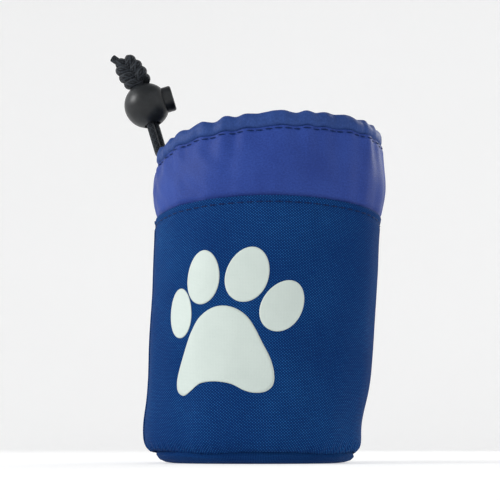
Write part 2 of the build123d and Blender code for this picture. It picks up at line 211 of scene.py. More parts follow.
class Bench:
    """One material's nodes, and the ways to add to them."""

    def __init__(self, name: str) -> None:
        """Makes the material with a Principled shader.

        Args:
            name: the material's name.
        """
        self.material = bpy.data.materials.new(name)
        self.material.use_nodes = True
        self.tree = self.material.node_tree
        self.shader = self.tree.nodes["Principled BSDF"]

    def node(self, kind: str, settings: dict | None = None, inputs: dict | None = None) -> bpy.types.Node:
        """Adds any node.

        Args:
            kind: the node's type name.
            settings: its attributes, set before its sockets.
            inputs: socket index or name, to a value or a link.

        Returns:
            The node.
        """
        node = self.tree.nodes.new(kind)
        for key, value in (settings or {}).items():
            setattr(node, key, value)
        for key, value in (inputs or {}).items():
            if isinstance(value, Socket):
                self.tree.links.new(value.link, node.inputs[key])
            elif isinstance(value, bpy.types.NodeSocket):
                self.tree.links.new(value, node.inputs[key])
            else:
                node.inputs[key].default_value = value
        return node

    def maths(self, operation: str, *values: Socket | float) -> Socket:
        """Adds a Math node and gives its result."""
        node = self.node("ShaderNodeMath", {"operation": operation}, dict(enumerate(values)))
        return Socket(self, node.outputs[0])

    def surface(self) -> tuple[Socket, Socket]:
        """Millimetres across and along the cloth or cord, from the piece's own UV map."""
        uv = self.node("ShaderNodeTexCoord").outputs["UV"]
        split = self.node("ShaderNodeSeparateXYZ", inputs={0: uv})
        return Socket(self, split.outputs[0]) * 1000.0, Socket(self, split.outputs[1]) * 1000.0

    def place(self, scale: Colour = (1.0, 1.0, 1.0)) -> bpy.types.NodeSocket:
        """The point on the piece, stretched by scale."""
        here = self.node("ShaderNodeTexCoord").outputs["Object"]
        return self.node("ShaderNodeMapping", inputs={"Vector": here, "Scale": scale}).outputs[0]

    def noise(self, scale: float, detail: float = 2.0, vector: bpy.types.NodeSocket | None = None) -> Socket:
        """Adds soft noise, 0 to 1.

        Args:
            scale: waves in a metre.
            detail: octaves.
            vector: where it is read, on the piece if left out.

        Returns:
            The noise.
        """
        where = self.place() if vector is None else vector
        inputs = {"Vector": where, "Scale": scale, "Detail": detail}
        return Socket(self, self.node("ShaderNodeTexNoise", inputs=inputs).outputs[0])

    def spread(self, across: Socket, along: Socket) -> bpy.types.NodeSocket:
        """Two values as a vector."""
        return self.node("ShaderNodeCombineXYZ", inputs={0: across, 1: along}).outputs[0]

    def mix(self, share: Socket, first: Colour | bpy.types.NodeSocket, second: Colour | bpy.types.NodeSocket) -> bpy.types.NodeSocket:
        """Mixes two colours.

        Args:
            share: 0 for the first and 1 for the second.
            first: a colour.
            second: a colour.

        Returns:
            The mixed colour.
        """
        solid = [c if isinstance(c, bpy.types.NodeSocket) else (*c, 1.0) for c in (first, second)]
        node = self.node("ShaderNodeMix", {"data_type": "RGBA"}, {0: share, 6: solid[0], 7: solid[1]})
        return node.outputs[2]

    def finish(
        self,
        colour: bpy.types.NodeSocket | Colour,
        roughness: Socket | float,
        height: Socket | None = None,
        relief: float = 0.0,
        constants: dict[str, float | Colour] | None = None,
    ) -> bpy.types.Material:
        """Feeds the shader.

        Args:
            colour: base colour.
            roughness: roughness.
            height: bump height, 0 to 1.
            relief: how deep the bump is, in metres.
            constants: sockets that are the same all over.

        Returns:
            The material.
        """
        feeds = {"Base Color": colour, "Roughness": roughness}
        for name, value in feeds.items():
            if isinstance(value, Socket):
                self.tree.links.new(value.link, self.shader.inputs[name])
            elif isinstance(value, bpy.types.NodeSocket):
                self.tree.links.new(value, self.shader.inputs[name])
            else:
                self.shader.inputs[name].default_value = (*value, 1.0) if name == "Base Color" else value
        for name, value in (constants or {}).items():
            self.shader.inputs[name].default_value = (*value, 1.0) if isinstance(value, tuple) else value
        if height is not None:
            bump = self.node("ShaderNodeBump", inputs={"Strength": 1.0, "Distance": relief, "Height": height})
            self.tree.links.new(bump.outputs[0], self.shader.inputs["Normal"])
        return self.material


# ------------------------------------------------------------------ finishes
@dataclass(frozen=True)
class Canvas:
    """Coarse Oxford cloth: two yarns over and under, with painted highlights on the yarn crowns and painted shade in
    the gaps between them.
    """

    name: str
    ground: Colour
    # the lighter colour: painted highlight on the yarn crowns, plus random yarn and fade mottle
    highlight_and_mottle: Colour
    across: float = 0.56  # yarn spacing, mm
    up: float = 0.5
    relief: float = 0.00009
    roughness: float = 0.72
    sheen: float = 0.0

    def material(self) -> bpy.types.Material:
        """Builds the weave on the cloth's own millimetres."""
        bench = Bench(self.name)
        across, along = bench.surface()
        drift = bench.noise(0.09, 2.0, bench.spread(across, along)) - 0.5
        u = across / self.across + drift * 0.9
        v = along / self.up + drift * 0.6
        warp, weft = (u * math.pi).sine(), (v * math.pi).sine()
        over = (warp * weft).rises(-0.12, 0.12)
        round_u, round_v = abs(warp), abs(weft)
        warp_height = (round_u ** 0.6) * (round_v * 0.5 + 0.5)
        weft_height = (round_v ** 0.6) * (round_u * 0.4 + 0.45)
        height = weft_height + over * (warp_height - weft_height)
        yarn = bench.noise(1.0, 1.0, bench.spread(across * 0.25, along * 2.0))
        fade = bench.noise(38.0, 3.0)
        # painted highlight: the lighter colour is mixed in where a yarn's crown rises, together with random yarn and
        # fade mottle
        highlight_and_mottle_share = (over * round_u * round_v) * 0.75 + (yarn - 0.5) * 0.5 + (fade - 0.5) * 0.7
        # painted shade: the gaps between the yarns are darkened to 0.62 of the ground colour
        ground = tuple(c * 0.62 for c in self.ground)
        colour = bench.mix(height.rises(0.05, 0.55), ground, self.ground)
        colour = bench.mix(highlight_and_mottle_share.rises(0.12, 0.85), colour, self.highlight_and_mottle)
        roughness = self.roughness + (1.0 - height) * 0.15
        constants = {"Sheen Weight": self.sheen, "Sheen Roughness": 0.5, "Specular IOR Level": 0.06}
        return bench.finish(colour, roughness, height, self.relief, constants)


@dataclass(frozen=True)
class Nylon:
    """Fine twill nylon with a slight sheen."""

    name: str
    ground: Colour
    light: Colour
    rib: float = 0.42  # mm between ribs
    relief: float = 0.00003
    roughness: float = 0.5
    sheen: float = 0.03

    def material(self) -> bpy.types.Material:
        """Builds slanting ribs, broken by the yarns across them."""
        bench = Bench(self.name)
        across, along = bench.surface()
        rib = ((across * 0.8 + along) * (2 * math.pi / self.rib)).sine()
        cut = ((across - along * 0.5) * (2 * math.pi / (self.rib * 0.8))).sine()
        height = rib * 0.35 + cut * 0.15 + 0.5
        cloud = bench.noise(55.0, 3.0)
        grain = bench.noise(1.5, 2.0, bench.spread(across, along))
        # painted highlight: the raised ribs are mixed towards the light colour, together with random cloud and grain
        share = (cloud - 0.5) * 0.9 + (grain - 0.5) * 1.1 + height * 0.5
        colour = bench.mix(share.rises(-0.1, 0.8), self.ground, self.light)
        roughness = self.roughness + (cloud - 0.5) * 0.15
        constants = {"Sheen Weight": self.sheen, "Sheen Roughness": 0.35, "Specular IOR Level": 0.16}
        return bench.finish(colour, roughness, height, self.relief, constants)


@dataclass(frozen=True)
class Braid:
    """Braided cord: slanting plaits both ways, in dark matt yarn."""

    name: str
    ground: Colour
    light: Colour
    plait: float = 1.25  # mm along the cord
    around: float = 9.42  # mm round the cord
    relief: float = 0.00016

    def material(self) -> bpy.types.Material:
        """Builds the plaits on the cord's own millimetres."""
        bench = Bench(self.name)
        across, along = bench.surface()
        turn = across * (2 * math.pi / self.around) * 4.0
        rise = along * (2 * math.pi / self.plait) * 0.5
        one, two = (rise + turn).sine(), (rise - turn).sine()
        over = (one - two).rises(-0.3, 0.3)
        height = abs(one) * over + abs(two) * (1.0 - over)
        fibre = bench.noise(3.0, 2.0, bench.spread(across * 2.0, along * 2.0))
        # painted highlight: the raised plaits are mixed towards the light colour, together with random fibre tone
        share = height * 0.4 + (fibre - 0.5) * 1.2 + 0.1
        colour = bench.mix(share.rises(0.1, 0.9), self.ground, self.light)
        constants = {"Sheen Weight": 0.05, "Specular IOR Level": 0.15}
        return bench.finish(colour, 0.75 - height * 0.15, height + fibre * 0.25, self.relief, constants)


@dataclass(frozen=True)
class Thread:
    """Sewing thread: two plies laid round each other."""

    name: str
    ground: Colour
    light: Colour

    def material(self) -> bpy.types.Material:
        """Builds a fine grain."""
        bench = Bench(self.name)
        grain = bench.noise(5200.0, 1.0)
        colour = bench.mix(grain.rises(0.3, 0.8), self.ground, self.light)
        constants = {"Specular IOR Level": 0.15}
        return bench.finish(colour, 0.62 - grain * 0.1, grain, 0.00004, constants)


@dataclass(frozen=True)
class Film:
    """Off-white pressed film that takes the weave below it."""

    name: str
    ground: Colour
    wear_and_hollow_shade: Colour
    across: float = 0.56
    up: float = 0.5

    def material(self) -> bpy.types.Material:
        """Builds a faint weave, painted shade in its hollows, and slight wear."""
        bench = Bench(self.name)
        across, along = bench.surface()
        weave = abs((across * (math.pi / self.across)).sine()) * abs((along * (math.pi / self.up)).sine())
        cloud = bench.noise(120.0, 3.0)
        speck = bench.noise(1900.0, 1.0).rises(0.66, 0.8)
        # painted shade: the weave's hollows, 1 - weave, go towards the darker colour; the cloud and specks are wear
        share = cloud.rises(0.3, 0.8) * 0.15 + speck * 0.3 + (1.0 - weave) * 0.3
        colour = bench.mix(share, self.ground, self.wear_and_hollow_shade)
        return bench.finish(colour, 0.42 + cloud * 0.2, weave, 0.00005, {"Specular IOR Level": 0.45})


@dataclass(frozen=True)
class Moulded:
    """Satin moulded plastic with fine scuffs."""

    name: str
    ground: Colour
    scuffed: Colour
    roughness: float = 0.38

    def material(self) -> bpy.types.Material:
        """Builds a fine spark-eroded grain, with light scuffs."""
        bench = Bench(self.name)
        grain = bench.noise(3600.0, 2.0)
        cloud = bench.noise(210.0, 4.0)
        scuff = bench.noise(900.0, 2.0, bench.place((1.0, 1.0, 6.0))).rises(0.62, 0.75)
        colour = bench.mix(cloud.rises(0.4, 0.85) * 0.5 + scuff * 0.35, self.ground, self.scuffed)
        roughness = self.roughness + (cloud - 0.5) * 0.2 + scuff * 0.12
        constants = {"Specular IOR Level": 0.35, "Coat Weight": 0.06, "Coat Roughness": 0.25}
        return bench.finish(colour, roughness, grain, 0.00002, constants)


@dataclass(frozen=True)
class Tape:
    """Hook tape or loop tape: rows of stiff hooks, or a napped face."""

    name: str
    ground: Colour
    light: Colour
    hooks: bool

    def material(self) -> bpy.types.Material:
        """Builds rows of hooks, or a nap, on the tape's own place."""
        bench = Bench(self.name)
        split = bench.node("ShaderNodeSeparateXYZ", inputs={0: bench.place()})
        across, along = Socket(bench, split.outputs[0]) * 1000.0, Socket(bench, split.outputs[2]) * 1000.0
        nap = bench.noise(1500.0, 3.0)
        if self.hooks:
            row = abs((across * (math.pi / 1.3)).sine()) * abs((along * (math.pi / 1.1)).sine())
            height = row.rises(0.45, 0.75) + nap * 0.2
        else:
            height = nap.rises(0.3, 0.75)
        # painted highlight: the colour follows only the height, lighter on the raised hooks and nap
        colour = bench.mix(height.rises(0.1, 1.0), self.ground, self.light)
        return bench.finish(colour, 0.85 - height * 0.2, height, 0.0003, {"Specular IOR Level": 0.06})


@dataclass(frozen=True)
class Steel:
    """Drawn spring wire."""

    name: str
    ground: Colour

    def material(self) -> bpy.types.Material:
        """Builds drawn wire with faint streaks."""
        bench = Bench(self.name)
        streak = bench.noise(2500.0, 2.0)
        colour = bench.mix(streak, tuple(c * 0.8 for c in self.ground), self.ground)
        return bench.finish(colour, 0.28 + streak * 0.15, streak, 0.00001, {"Metallic": 1.0})


# ------------------------------------------------------------------ the workshop
def deselect() -> None:
    """Selects nothing, so that an operator acts only on what comes next."""
    for piece in bpy.context.selected_objects:
        piece.select_set(False)


def only(piece: bpy.types.Object) -> None:
    """Selects one piece and makes it active."""
    deselect()
    piece.select_set(True)
    bpy.context.view_layer.objects.active = piece


def finish_with(piece: bpy.types.Object, kind: str, **settings: object) -> None:
    """Adds a modifier and applies it.

    Args:
        piece: the piece.
        kind: the modifier's type.
        settings: its attributes.
    """
    only(piece)
    modifier = piece.modifiers.new(kind.lower(), kind)
    for key, value in settings.items():
        setattr(modifier, key, value)
    bpy.ops.object.modifier_apply(modifier=modifier.name)


def tidy(piece: bpy.types.Object, gap: float = 0.00002, turn: bool = True) -> None:
    """Merges doubles, turns the faces outwards and shades the piece smooth.

    Args:
        piece: a piece.
        gap: points nearer than this become one.
        turn: whether the normals are worked out again.
    """
    only(piece)
    bpy.ops.object.mode_set(mode="EDIT")
    bpy.ops.mesh.select_all(action="SELECT")
    bpy.ops.mesh.remove_doubles(threshold=gap)
    if turn:
        bpy.ops.mesh.normals_make_consistent(inside=False)
    bpy.ops.object.mode_set(mode="OBJECT")
    bpy.ops.object.shade_smooth()


def cut_sheet(name: str, columns: int, rows: int, size: tuple[float, float], place: Place) -> bpy.types.Object:
    """Cuts a flat sheet and lays it along a surface.

    Args:
        name: the piece's name.
        columns: faces across.
        rows: faces along.
        size: the cut's width and length in metres, which its UV map keeps.
        place: where a point goes, from its shares across and along.

    Returns:
        The sheet.
    """
    deselect()
    bpy.ops.mesh.primitive_grid_add(x_subdivisions=columns, y_subdivisions=rows, size=2, calc_uvs=True)
    sheet = bpy.context.object
    sheet.name = sheet.data.name = name
    for corner in sheet.data.uv_layers.active.data:
        corner.uv = (corner.uv[0] * size[0], corner.uv[1] * size[1])
    for point in sheet.data.vertices:
        point.co = place((point.co.x + 1) / 2, (point.co.y + 1) / 2)
    return sheet


def settle(piece: bpy.types.Object, shape: Matrix) -> None:
    """Puts a piece's place into its mesh, and leaves its object at the origin."""
    piece.data.transform(shape @ piece.matrix_world)
    piece.matrix_world = Matrix.Identity(4)


def dress(
    piece: bpy.types.Object,
    material: bpy.types.Material,
    slot: Slot,
    body: Body,
    *stands_for: str,
) -> bpy.types.Object:
    """Gives a piece its finish and its body.

    Args:
        piece: the piece.
        material: its finish.
        slot: the record's slot for it; not used.
        body: the body it moves with.
        stands_for: the CAD nodes it replaces.

    Returns:
        The piece.
    """
    piece.data.materials.clear()
    piece.data.materials.append(material)
    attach(piece, body.value)
    if stands_for:
        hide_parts(*stands_for)
    LOG.info("%s rides on %s", piece.name, body.value)
    return piece


def dress_node(node: str, material: bpy.types.Material) -> None:
    """Gives a carried-over CAD node its finish."""
    piece = frame["nodes"][node]
    piece.data.materials.clear()
    piece.data.materials.append(material)
    LOG.info("%s keeps its CAD shape", node)


@dataclass(frozen=True)
class Stitch:
    """One stitch of sewing thread, lying along +X with +Z out of the cloth."""

    length: float = 3.1 * MM
    pitch: float = 3.4 * MM
    thickness: float = 0.5 * MM
    sink: float = 0.1 * MM

    def mesh(self) -> bpy.types.Mesh:
        """Shapes a long bead whose ends dive into the cloth."""
        deselect()
        bpy.ops.mesh.primitive_uv_sphere_add(segments=6, ring_count=7, radius=0.5)
        bead = bpy.context.object
        bpy.ops.object.mode_set(mode="EDIT")
        bpy.ops.transform.rotate(value=math.pi / 2, orient_axis="Y", center_override=(0, 0, 0))
        bpy.ops.transform.resize(value=(self.length, self.thickness, self.thickness))
        bpy.ops.object.mode_set(mode="OBJECT")
        mesh = bead.data
        for point in mesh.vertices:
            share = point.co.x / (self.length / 2)
            point.co.z -= self.sink * share * share * 2
        bpy.data.objects.remove(bead)
        return mesh

    def sew(self, name: str, line: list[tuple[Vector, Vector, Vector]]) -> bpy.types.Object:
        """Copies the stitch along a line.

        Args:
            name: the piece's name.
            line: each stitch's centre, direction and the cloth's normal.

        Returns:
            The stitches, as one piece.
        """
        pattern = self.mesh()
        row = bmesh.new()
        for centre, along, out in line:
            side = out.cross(along).normalized()
            forward = side.cross(out).normalized()
            place = Matrix((forward, side, out.normalized())).transposed().to_4x4()
            place.translation = centre
            before = len(row.verts)
            row.from_mesh(pattern)
            row.verts.ensure_lookup_table()
            bmesh.ops.transform(row, matrix=place, verts=row.verts[before:])
        mesh = bpy.data.meshes.new(name)
        row.to_mesh(mesh)
        row.free()
        mesh.shade_smooth()
        piece = bpy.data.objects.new(name, mesh)
        bpy.context.collection.objects.link(piece)
        return piece


# ------------------------------------------------------------------ the bag's form
@dataclass(frozen=True)
class BagForm:
    """The soft outside of the bag, in millimetres, as the CAD's ovals give it."""

    # height, half width, half depth
    ovals: tuple[tuple[float, float, float], ...] = (
        (2.6, 35.4, 27.6),
        (3.8, 37.6, 29.6),
        (6.0, 39.8, 31.6),
        (9.5, 40.9, 32.6),
        (24.0, 41.4, 32.8),
        (46.25, 42.2, 32.9),
        (70.0, 43.1, 33.0),
        (92.5, 43.75, 33.0),
        (104.5, 45.3, 32.6),
        (118.0, 44.6, 30.2),
        (130.0, 44.4, 29.6),
    )
    top: float = 92.5
    lean: float = 5.0
    arch: float = 2.8
    mouth: float = 124.6
    mouth_tilt: float = 4.0
    mouth_arch: float = 3.9
    strap_x: float = 2.5
    strap_half: float = 15.0

    def oval(self, height: float) -> tuple[float, float]:
        """Half width and half depth at a height, on a smooth curve through the ovals."""
        rows = self.ovals
        height = min(max(height, rows[0][0]), rows[-1][0])
        index = max(i for i in range(len(rows) - 1) if rows[i][0] <= height)
        low, high = rows[index], rows[index + 1]
        before, after = rows[max(index - 1, 0)], rows[min(index + 2, len(rows) - 1)]
        span = high[0] - low[0]
        t = (height - low[0]) / span

        def through(k: int) -> float:
            """One size, by its slopes at both ends."""
            enter = (high[k] - before[k]) / (high[0] - before[0]) * span
            leave = (after[k] - low[k]) / (after[0] - low[0]) * span
            return (
                low[k] * (2 * t**3 - 3 * t**2 + 1)
                + enter * (t**3 - 2 * t**2 + t)
                + high[k] * (3 * t**2 - 2 * t**3)
                + leave * (t**3 - t**2)
            )

        return through(1), through(2)

    def middle(self, height: float) -> float:
        """How far the oval's centre stands to +X."""
        return self.lean * min(height, self.top) / self.top

    def girth(self) -> float:
        """Length round the bag at mid-height."""
        return self.arc_table()[-1][1]

    def arc_table(self) -> list[tuple[float, float]]:
        """Turns and arc lengths round the mid oval, from the front."""
        if not ARC_TABLE:
            width, depth = self.oval(46.25)
            total, steps = 0.0, 720
            last = (0.0, -depth)
            for step in range(steps + 1):
                turn = 2 * math.pi * step / steps
                here = (width * math.sin(turn), -depth * math.cos(turn))
                total += math.hypot(here[0] - last[0], here[1] - last[1])
                ARC_TABLE.append((turn, total))
                last = here
        return ARC_TABLE

    def turn_at(self, arc: float) -> float:
        """The turn at an arc length from the front, in millimetres."""
        table = self.arc_table()
        girth = table[-1][1]
        laps, rest = divmod(arc, girth)
        low, high = 0, len(table) - 1
        while high - low > 1:
            half = (low + high) // 2
            low, high = (half, high) if table[half][1] <= rest else (low, half)
        (turn0, arc0), (turn1, arc1) = table[low], table[high]
        return turn0 + (turn1 - turn0) * (rest - arc0) / (arc1 - arc0) + laps * 2 * math.pi

    def calm(self, turn: float, height: float) -> float:
        """1 where the cloth is free to ripple, and 0 under the belt strap."""
        across = abs(self.middle(height) + 43 * math.sin(turn) - self.strap_x)
        behind = smooth(0.2, 0.5, -math.cos(turn))
        return 1 - behind * (1 - smooth(self.strap_half, self.strap_half + 9, across))

    def ripple(self, turn: float, height: float) -> float:
        """How far the soft cloth stands out or in, in millimetres."""
        ring = Vector((math.sin(turn) * 1.5, math.cos(turn) * 1.5, height * 0.022))
        slow = noise.noise(ring + Vector((3.1, 0.4, 1.7)))
        quick = noise.noise(ring * 2.4 + Vector((0.7, 5.2, 2.2)))
        drape = noise.noise(Vector((math.sin(turn) * 3.2, math.cos(turn) * 3.2, height * 0.008)))
        low = 1 - smooth(8, 40, height)
        free = slow * 0.85 + quick * 0.3 + drape * (0.25 + 0.5 * low)
        side = math.sin(turn)
        slump = 1.0 * math.exp(-(((height - 12) / 10) ** 2)) * max(0.0, -side) ** 4
        dent = 2.7 * math.exp(-(((height - 13) / 11) ** 2)) * max(0.0, side) ** 4
        return free * self.calm(turn, height) + slump - dent

    def at(self, turn: float, height: float, out: float = 0.0, ripple: float = 1.0) -> Vector:
        """A point on the bag.

        Args:
            turn: round the bag, from the front.
            height: millimetres above the base.
            out: millimetres out from the canvas's outer face.
            ripple: share of the soft ripple.

        Returns:
            The point, in metres.
        """
        width, depth = self.oval(height)
        out += self.ripple(turn, height) * ripple
        flat = Vector((math.sin(turn) / width, -math.cos(turn) / depth)).normalized()
        x = self.middle(height) + width * math.sin(turn) + flat.x * out
        y = -depth * math.cos(turn) + flat.y * out
        return Vector((x, y, height)) * MM

    def foot(self, turn: float) -> float:
        """Height of the seam that joins the canvas to the base."""
        return 3.4 + 1.8 * noise.noise(Vector((math.sin(turn) * 2.0 + 4, math.cos(turn) * 2.0, 0.5)))

    def edge(self, turn: float) -> float:
        """Height of the canvas's top edge."""
        return self.top + self.arch * abs(math.cos(turn)) ** 1.5

    def rim(self, turn: float) -> float:
        """Height of the mouth's top edge, before it puckers."""
        tilt = math.tan(math.radians(self.mouth_tilt)) * 44 * math.sin(turn)
        low_end = 1.3 * smooth(0.75, 1.0, -math.sin(turn))
        return self.mouth + tilt + self.mouth_arch * abs(math.cos(turn)) ** 1.4 - low_end

    def frame_at(self, turn: float, height: float, out: float) -> tuple[Vector, Vector, Vector]:
        """A point with its direction round the bag and its outward normal."""
        here = self.at(turn, height, out)
        along = self.at(turn + 0.01, height, out) - here
        up = self.at(turn, height + 0.5, out) - here
        return here, along.normalized(), along.cross(up).normalized()


ARC_TABLE: list[tuple[float, float]] = []


@dataclass
class Bag:
    """The canvas body, its base and its stitching."""

    form: BagForm
    canvas: bpy.types.Material
    thread: bpy.types.Material
    cloth: float = 0.5
    lap: float = 7.0  # the side seam's overlap
    seam_shift: float = -5.5  # from the cord end, towards the back
    edge_inset: float = 2.3
    columns: int = 300
    rows: int = 96

    def hem_dip(self, below: float) -> float:
        """How far a stitch line pulls the cloth in, at a distance from the line."""
        return 0.45 * math.exp(-((below / 0.9) ** 2))

    def shell(self) -> bpy.types.Object:
        """Wraps the canvas round the bag, lapped at the cord end."""
        form = self.form
        girth = form.girth()
        start, length = self.seam_shift - girth / 4, girth + self.lap

        def place(s: float, t: float) -> Vector:
            """Lays a point of the cut on the bag."""
            arc = start + s * length
            turn = form.turn_at(arc)
            high = form.edge(turn)
            height = form.foot(turn) + (high - form.foot(turn)) * t
            over = smooth(girth - 5.0, girth + 1.0, arc - start) * (self.cloth + 0.04)
            dip = self.hem_dip(high - self.edge_inset - height)
            crease = 0.28 * math.sin(turn * 61 + 2 * noise.noise(Vector((turn * 9, 0, 0))))
            low = 1 - smooth(4.6, 9.0, height)
            seam = self.hem_dip(arc - start - girth - self.lap + 2.6) if over else 0.0
            return form.at(turn, height, over - dip - seam + crease * low)

        piece = cut_sheet("canvas_shell", self.columns, self.rows, (length * MM, form.top * MM), place)
        piece.data.shade_smooth()
        finish_with(piece, "SOLIDIFY", thickness=self.cloth * MM, offset=-1.0)
        piece.data.shade_smooth()
        return dress(piece, self.canvas, Slot.CANVAS, Body.POUCH, "outer_shell", "side_seam")

    def base(self) -> bpy.types.Object:
        """Makes the soft base: a flat foot, a puffed edge and a top face inside the bag."""
        form = self.form
        # share of the half width, height
        profile = ((0.0, 0.35), (0.55, 0.12), (0.8, 0.0), (0.88, 0.3), (0.94, 1.1), (0.975, 2.4), (0.965, 3.9), (0.7, 3.9), (0.0, 3.8))
        steps = len(profile) - 1

        def place(s: float, t: float) -> Vector:
            """Follows the profile out from the foot's centre and back over the top."""
            turn = CORD_END + 2 * math.pi * s
            index = min(int(t * steps), steps - 1)
            share = t * steps - index
            (r0, z0), (r1, z1) = profile[index], profile[index + 1]
            reach, height = r0 + (r1 - r0) * share, z0 + (z1 - z0) * share
            puff = 0.35 * noise.noise(Vector((math.sin(turn) * 2.5, math.cos(turn) * 2.5, reach * 2)))
            height = max(0.0, (height + puff * smooth(0.3, 1.5, height)) * (form.foot(turn) + 0.8) / 3.9)
            x = 38.0 * reach * math.sin(turn) - 0.4
            y = -30.1 * reach * math.cos(turn)
            return Vector((x, y, height)) * MM

        piece = cut_sheet("base_panel_soft", 160, 48, (0.22, 0.09), place)
        tidy(piece)
        finish_with(piece, "SUBSURF", levels=1, render_levels=1)
        piece.data.shade_smooth()
        return dress(piece, self.canvas, Slot.CANVAS, Body.POUCH, "base_panel")

    def stitches(self) -> list[bpy.types.Object]:
        """Sews the top edge and the side seam."""
        form, stitch = self.form, Stitch()
        girth = form.girth()
        pitch = stitch.pitch / MM
        edge = []
        for number in range(int(girth / pitch)):
            turn = form.turn_at(-girth / 4 + (number + 0.5) * pitch)
            behind = abs(form.middle(90) + 43.5 * math.sin(turn) - form.strap_x) < 14 and math.cos(turn) < 0
            if not behind:
                edge.append(form.frame_at(turn, form.edge(turn) - self.edge_inset, -0.26))
        row = stitch.sew("canvas_edge_stitches", edge)
        dress(row, self.thread, Slot.THREAD, Body.POUCH, "shell_edge_stitching")
        side = []
        turn = form.turn_at(self.seam_shift - girth / 4 + self.lap - 2.6)
        for number in range(int(80 / pitch)):
            here, along, out = form.frame_at(turn, 9.5 + (number + 0.5) * pitch, self.cloth - 0.22)
            side.append((here, out.cross(along), out))
        seam = stitch.sew("side_seam_stitches", side)
        dress(seam, self.thread, Slot.THREAD, Body.POUCH, "side_seam_stitching")
        return [row, seam]

    def build(self) -> None:
        """Makes the bag's pieces."""
        self.shell()
        self.base()
        self.stitches()


@dataclass
class Collar:
    """The nylon collar, its puckered drawstring channel and their stitching."""

    form: BagForm
    nylon: bpy.types.Material
    hem: bpy.types.Material
    thread: bpy.types.Material
    cloth: float = 0.55
    channel: float = 6.9  # height of the channel
    depth: float = 5.4  # front to back of the channel's fold
    overlap: float = 6.0
    tunnel_gap: float = 4.6  # half the opening at the cord end
    gathers: int = 27

    def gather(self, turn: float) -> float:
        """The pucker's wave round the mouth, -1 to 1, uneven from one to the next."""
        wander = 1.3 * noise.noise(Vector((math.sin(turn) * 2.1, math.cos(turn) * 2.1, 4.0)))
        strength = 0.65 + 0.5 * noise.noise(Vector((math.sin(turn) * 3.0, math.cos(turn) * 3.0, 9.0)))
        return math.sin(self.gathers * turn + 4 * wander) * strength

    def seam_height(self, turn: float) -> float:
        """Height of the stitch line under the channel."""
        return self.form.rim(turn) - self.channel + 0.25 * self.gather(turn)

    def face(self, turn: float, height: float) -> float:
        """How far the collar's outer face stands out from the canvas's, in millimetres."""
        edge, seam = self.form.edge(turn), self.seam_height(turn)
        inside = 1 - smooth(edge - 0.6, edge + 2.2, height)
        upper = smooth(edge + 6, seam, height)
        folds = noise.noise(Vector((math.sin(turn) * 7, math.cos(turn) * 7, height * 0.03)))
        broad = noise.noise(Vector((math.sin(turn) * 2.2, math.cos(turn) * 2.2, height * 0.04 + 7)))
        out = -0.35 - 0.85 * inside + 0.5 * self.gather(turn) * upper * upper
        lean = turn + height * 0.025
        slant = noise.noise(Vector((math.sin(lean) * 6, math.cos(lean) * 6, 3.0))) * max(0.0, -math.sin(turn))
        out += (0.5 * folds + 0.6 * broad + 0.9 * slant) * (1 - inside)
        return out - 0.5 * math.exp(-(((seam - height) / 0.8) ** 2))

    def tube(self) -> bpy.types.Object:
        """Wraps the collar, smooth at the canvas and gathered at the channel."""
        form = self.form
        girth = form.girth()

        def place(s: float, t: float) -> Vector:
            """Lays a point of the cut on the bag."""
            turn = form.turn_at(-girth / 4 + s * girth)
            low, high = form.edge(turn) - self.overlap, self.seam_height(turn) + 0.6
            height = low + (high - low) * t
            return form.at(turn, height, self.face(turn, height))

        piece = cut_sheet("collar_cloth", 320, 56, (girth * MM, 0.036), place)
        tidy(piece, turn=False)
        finish_with(piece, "SOLIDIFY", thickness=self.cloth * MM, offset=-1.0)
        piece.data.shade_smooth()
        return dress(piece, self.nylon, Slot.COLLAR, Body.POUCH, "collar")

    def roll(self) -> bpy.types.Object:
        """Folds the hem into a soft tunnel, open at the cord end, with puckers along its top."""
        form = self.form
        open_turn = self.tunnel_gap / 28.0

        def place(s: float, t: float) -> Vector:
            """Goes once round the roll's section at each place along it."""
            turn = CORD_END + open_turn + (2 * math.pi - 2 * open_turn) * s
            wave = self.gather(turn)
            low, high = self.seam_height(turn), form.rim(turn) + 0.55 * wave
            angle = -math.pi / 2 + 2 * math.pi * t
            fine = noise.noise(Vector((math.sin(turn) * 9, math.cos(turn) * 9, angle)))
            up = math.copysign(abs(math.sin(angle)) ** 0.8, math.sin(angle))
            across = math.copysign(abs(math.cos(angle)) ** 0.55, math.cos(angle))
            height = (low + high) / 2 + up * (high - low) / 2
            top = smooth(0.1, 1.0, up)
            pinch = 1 - (1 - smooth(-1.0, -0.5, up)) * (0.3 if across > 0 else 0.75)
            out = -self.depth / 2 + across * pinch * (1 - 0.25 * top) * self.depth / 2
            pucker = noise.noise(Vector((math.sin(turn) * 14, math.cos(turn) * 14, 1.0)))
            out += (0.5 * wave + 0.35 * fine) * (0.3 + 0.7 * top) + 0.5 * pucker - 0.25
            return form.at(turn, height, out, 0.6)

        piece = cut_sheet("drawstring_channel_hem", 360, 40, (0.25, 0.018), place)
        tidy(piece)
        finish_with(piece, "SOLIDIFY", thickness=0.45 * MM, offset=-1.0)
        piece.data.shade_smooth()
        return dress(piece, self.hem, Slot.COLLAR, Body.POUCH, "drawstring_channel")

    def stitches(self) -> bpy.types.Object:
        """Sews the line under the channel."""
        form, stitch = self.form, Stitch()
        pitch, girth = stitch.pitch / MM, form.girth()
        line = []
        for number in range(int(girth / pitch)):
            turn = form.turn_at(-girth / 4 + (number + 0.5) * pitch)
            if abs(math.sin((turn - CORD_END) / 2)) > self.tunnel_gap / 50:
                height = self.seam_height(turn) - 0.35
                line.append(form.frame_at(turn, height, self.face(turn, height) + 0.24))
        row = stitch.sew("channel_stitches", line)
        return dress(row, self.thread, Slot.THREAD, Body.POUCH, "channel_stitching")

    def build(self) -> None:
        """Makes the collar's pieces."""
        self.tube()
        self.roll()
        self.stitches()


